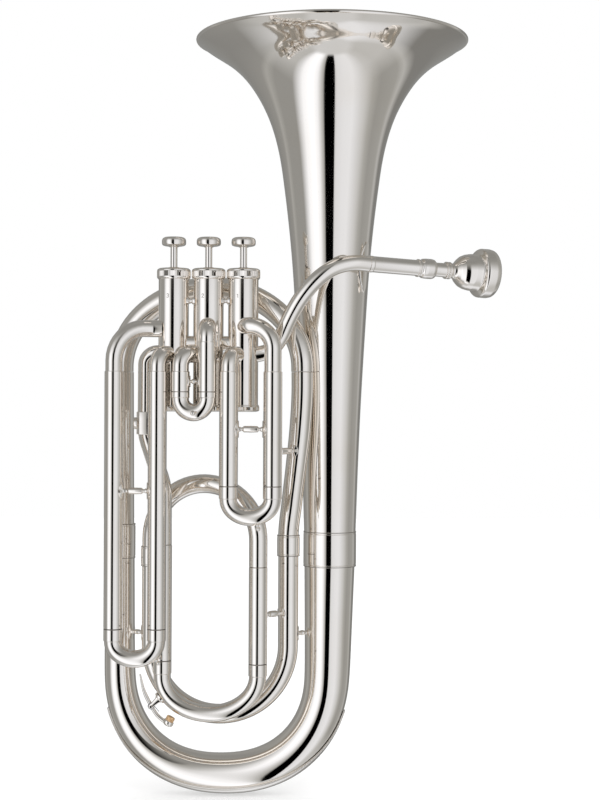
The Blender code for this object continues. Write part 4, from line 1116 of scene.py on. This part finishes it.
def lyre_parts():
    """The square socket for a lyre on its collar, and the thumb screw beside it."""
    height = 8.4
    plans = [((x, 0, 0), (0.9, 3.6, height), 0.8) for x in (-3.1, 3.1)]
    plans += [((0, -2.85, 0), (3.9, 0.75, height), 0.6), ((0, 3.1, 0), (3.9, 0.8, height), 0.6)]
    walls = [rounded_box(LYRE + Vector(place), half, radius) for place, half, radius in plans]
    levels = [(LYRE.z + dz, 7.0, 6.0) for dz in (-height, 0.0, height)]
    collar = pipe(upright(EXIT_X, VALVE_Y, levels), lip=0.4)
    stand_in("lyre_holder", joined(*walls, collar))
    outline = [(0.05, -8.8), (1.4, -8.7), (1.6, -8.3), (3.9, -8.1), (4.3, -7.6), (4.3, -5.4), (3.9, -4.9)]
    outline += [(1.4, -4.6), (1.2, -2.7)]
    stand_in("lyre_screw", solid(outline, LYRE, (1, 0, 0), fillet=0.3), "lyre_screw")


def small_fittings():
    """Pull knobs that the frame leaves out."""
    middles = {number: sum(plan["legs"]) / 2 for number, plan in SLIDES.items()}
    place = (middles[2], SLIDE_Y - CROOK_RADIUS + 0.3, SLIDES[2]["crook"] - 0.4)
    knob(place, (0, -1, 0), 1.8, "slide_2")
    place = (middles[1] + 5.0, SLIDE_Y, SLIDES[1]["crook"] - CROOK_RADIUS + 0.9)
    knob(place, (0.25, 0, -1), 1.7, "slide_1")
    place = Vector((middles[3] + 11.2, SLIDE_Y, SLIDES[3]["ferrule"] - 9.6))
    way = Vector((0.7, 0, -0.72)).normalized()
    knob(place + way * (CROOK_RADIUS - 0.5), way, 1.7, "slide_3")


# ---- stage


def lit(value):
    """The colour of a light of this brightness: the soft boxes are a little cooler than the room."""
    cool = min(max((value - 0.4) / 0.4, 0.0), 1.0)
    dim, full = (0.97, 0.985, 0.97), (0.95, 0.985, 1.05)
    return tuple(mixed(a, b, cool) * value / BRIGHTEST for a, b in zip(dim, full))


def maths(tree, operation, *values):
    node = tree.nodes.new("ShaderNodeMath")
    node.operation = operation
    for socket, value in zip(node.inputs, values):
        if isinstance(value, (int, float)):
            socket.default_value = value
        else:
            tree.links.new(value, socket)
    return node.outputs[0]


def blended(tree, share, first, second):
    node = tree.nodes.new("ShaderNodeMix")
    node.data_type = "RGBA"
    for socket, value in (("Factor", share), ("A", first), ("B", second)):
        tree.links.new(value, node.inputs[socket])
    return node.outputs["Result"]


def room(tree):
    """The room by direction: soft boxes with a black strip between them, and a dim floor and ceiling."""
    direction = tree.nodes.new("ShaderNodeSeparateXYZ")
    generated = tree.nodes.new("ShaderNodeTexCoord").outputs["Generated"]
    tree.links.new(generated, direction.inputs[0])
    x, y, z = direction.outputs
    azimuth = maths(tree, "ARCTAN2", x, maths(tree, "MULTIPLY", y, -1.0))
    around = maths(tree, "MULTIPLY_ADD", azimuth, 0.5 / math.pi, 0.5 + ROOM_TURN / 360)
    height = maths(tree, "MULTIPLY_ADD", maths(tree, "ARCSINE", z), 1.0 / math.pi, 0.5)

    def by_azimuth(levels):
        return ramp(tree, around, [((a + 180) / 360, lit(v)) for a, v in levels])

    def by_height(levels):
        return ramp(tree, height, [((e + 90) / 180, v) for e, v in levels])

    front = [(a, value) for a, value in SOFT_BOXES if -61 < a < 71]
    under = [(-180, 0.9), (-150, 0.85), (-125, 0.56), (-70, 0.5), *front]
    under += [(90, 0.54), (125, 0.56), (150, 0.85)]
    walls = by_azimuth(SOFT_BOXES)
    below = by_azimuth(under)
    deep = by_height([(-60, 1.0), (-42, 0.0)])
    reach = by_height([(-90, 0.0), (-81, 0.0), (-77, 1.0), (8, 1.0), (26, 0.5), (36, 0.2), (48, 0.0)])
    ends = [(-90, 0.64), (-76, 0.66), (0, 0.36), (40, 0.32), (60, 0.27), (90, 0.30)]
    base = by_height([(e, lit(value)) for e, value in ends])
    return blended(tree, reach, base, blended(tree, deep, walls, below))


def studio():
    """A white surround; reflections show the photographer's room in its place."""
    world = bpy.data.worlds.new("studio")
    bpy.context.scene.world = world
    world.use_nodes = True
    tree = world.node_tree
    new, link = tree.nodes.new, tree.links.new
    reflected = new("ShaderNodeBackground")
    link(room(tree), reflected.inputs["Color"])
    set_inputs(reflected, {"Strength": BRIGHTEST})
    white = new("ShaderNodeBackground")
    path = new("ShaderNodeLightPath")
    link(maths(tree, "MULTIPLY_ADD", path.outputs["Is Camera Ray"], -0.15, 1.15), white.inputs["Strength"])
    set_inputs(white, {"Color": (1.0, 1.0, 1.0, 1.0)})
    chosen = new("ShaderNodeMixShader")
    link(path.outputs["Is Glossy Ray"], chosen.inputs[0])
    link(white.outputs[0], chosen.inputs[1])
    link(reflected.outputs[0], chosen.inputs[2])
    link(chosen.outputs[0], tree.nodes["World Output"].inputs["Surface"])


def floor():
    mesh = bpy.data.meshes.new("floor")
    corners = [(-1, -1), (1, -1), (1, 1), (-1, 1)]
    points = [(x * FLOOR_SIZE, y * FLOOR_SIZE, -FLOOR_DROP) for x, y in corners]
    mesh.from_pydata(points, [], [(0, 1, 2, 3)])
    material = bpy.data.materials.new("floor")
    _, shader = nodes_of(material)
    set_inputs(shader, {"Base Color": (0.6, 0.6, 0.6, 1.0), "Roughness": 1.0})
    set_inputs(shader, {"Emission Color": (1.0, 1.0, 1.0, 1.0), "Emission Strength": 0.42})
    mesh.materials.append(material)
    obj = placed("floor", mesh)
    obj.visible_glossy = False


def lamp():
    data = bpy.data.lights.new("soft_box", "AREA")
    data.shape = "RECTANGLE"
    data.size, data.size_y = 1.6, 1.0
    data.energy = 6.0
    obj = placed("soft_box", data)
    obj.location = (0.7, -1.2, 1.6)
    obj.rotation_euler = (Vector((0, 0, 0.3)) - obj.location).to_track_quat("-Z", "Y").to_euler()
    obj.visible_glossy = False


def camera():
    data = bpy.data.cameras.new("camera")
    data.lens = CAMERA_LENS
    data.sensor_width = 36.0
    data.clip_end = 20.0
    obj = placed("camera", data)
    obj.location = Vector(CAMERA_PLACE) * MM
    obj.rotation_euler = (math.radians(90), math.radians(-CAMERA_ROLL), 0)
    bpy.context.scene.camera = obj


# ---- the whole scene


camera()
large_tubes()
for valve_number in VALVE_X:
    valve(valve_number)
    valve_slide(valve_number)
between_casings(2, 1)
between_casings(3, 2)
valve_slide_sleeves()
tuning_slide()
exit_tube()
water_key()
leadpipe_and_receiver()
mouthpiece()
braces()
leadpipe_stay()
lyre_parts()
small_fittings()
studio()
floor()
lamp()
bpy.context.scene.view_settings.view_transform = "Standard"
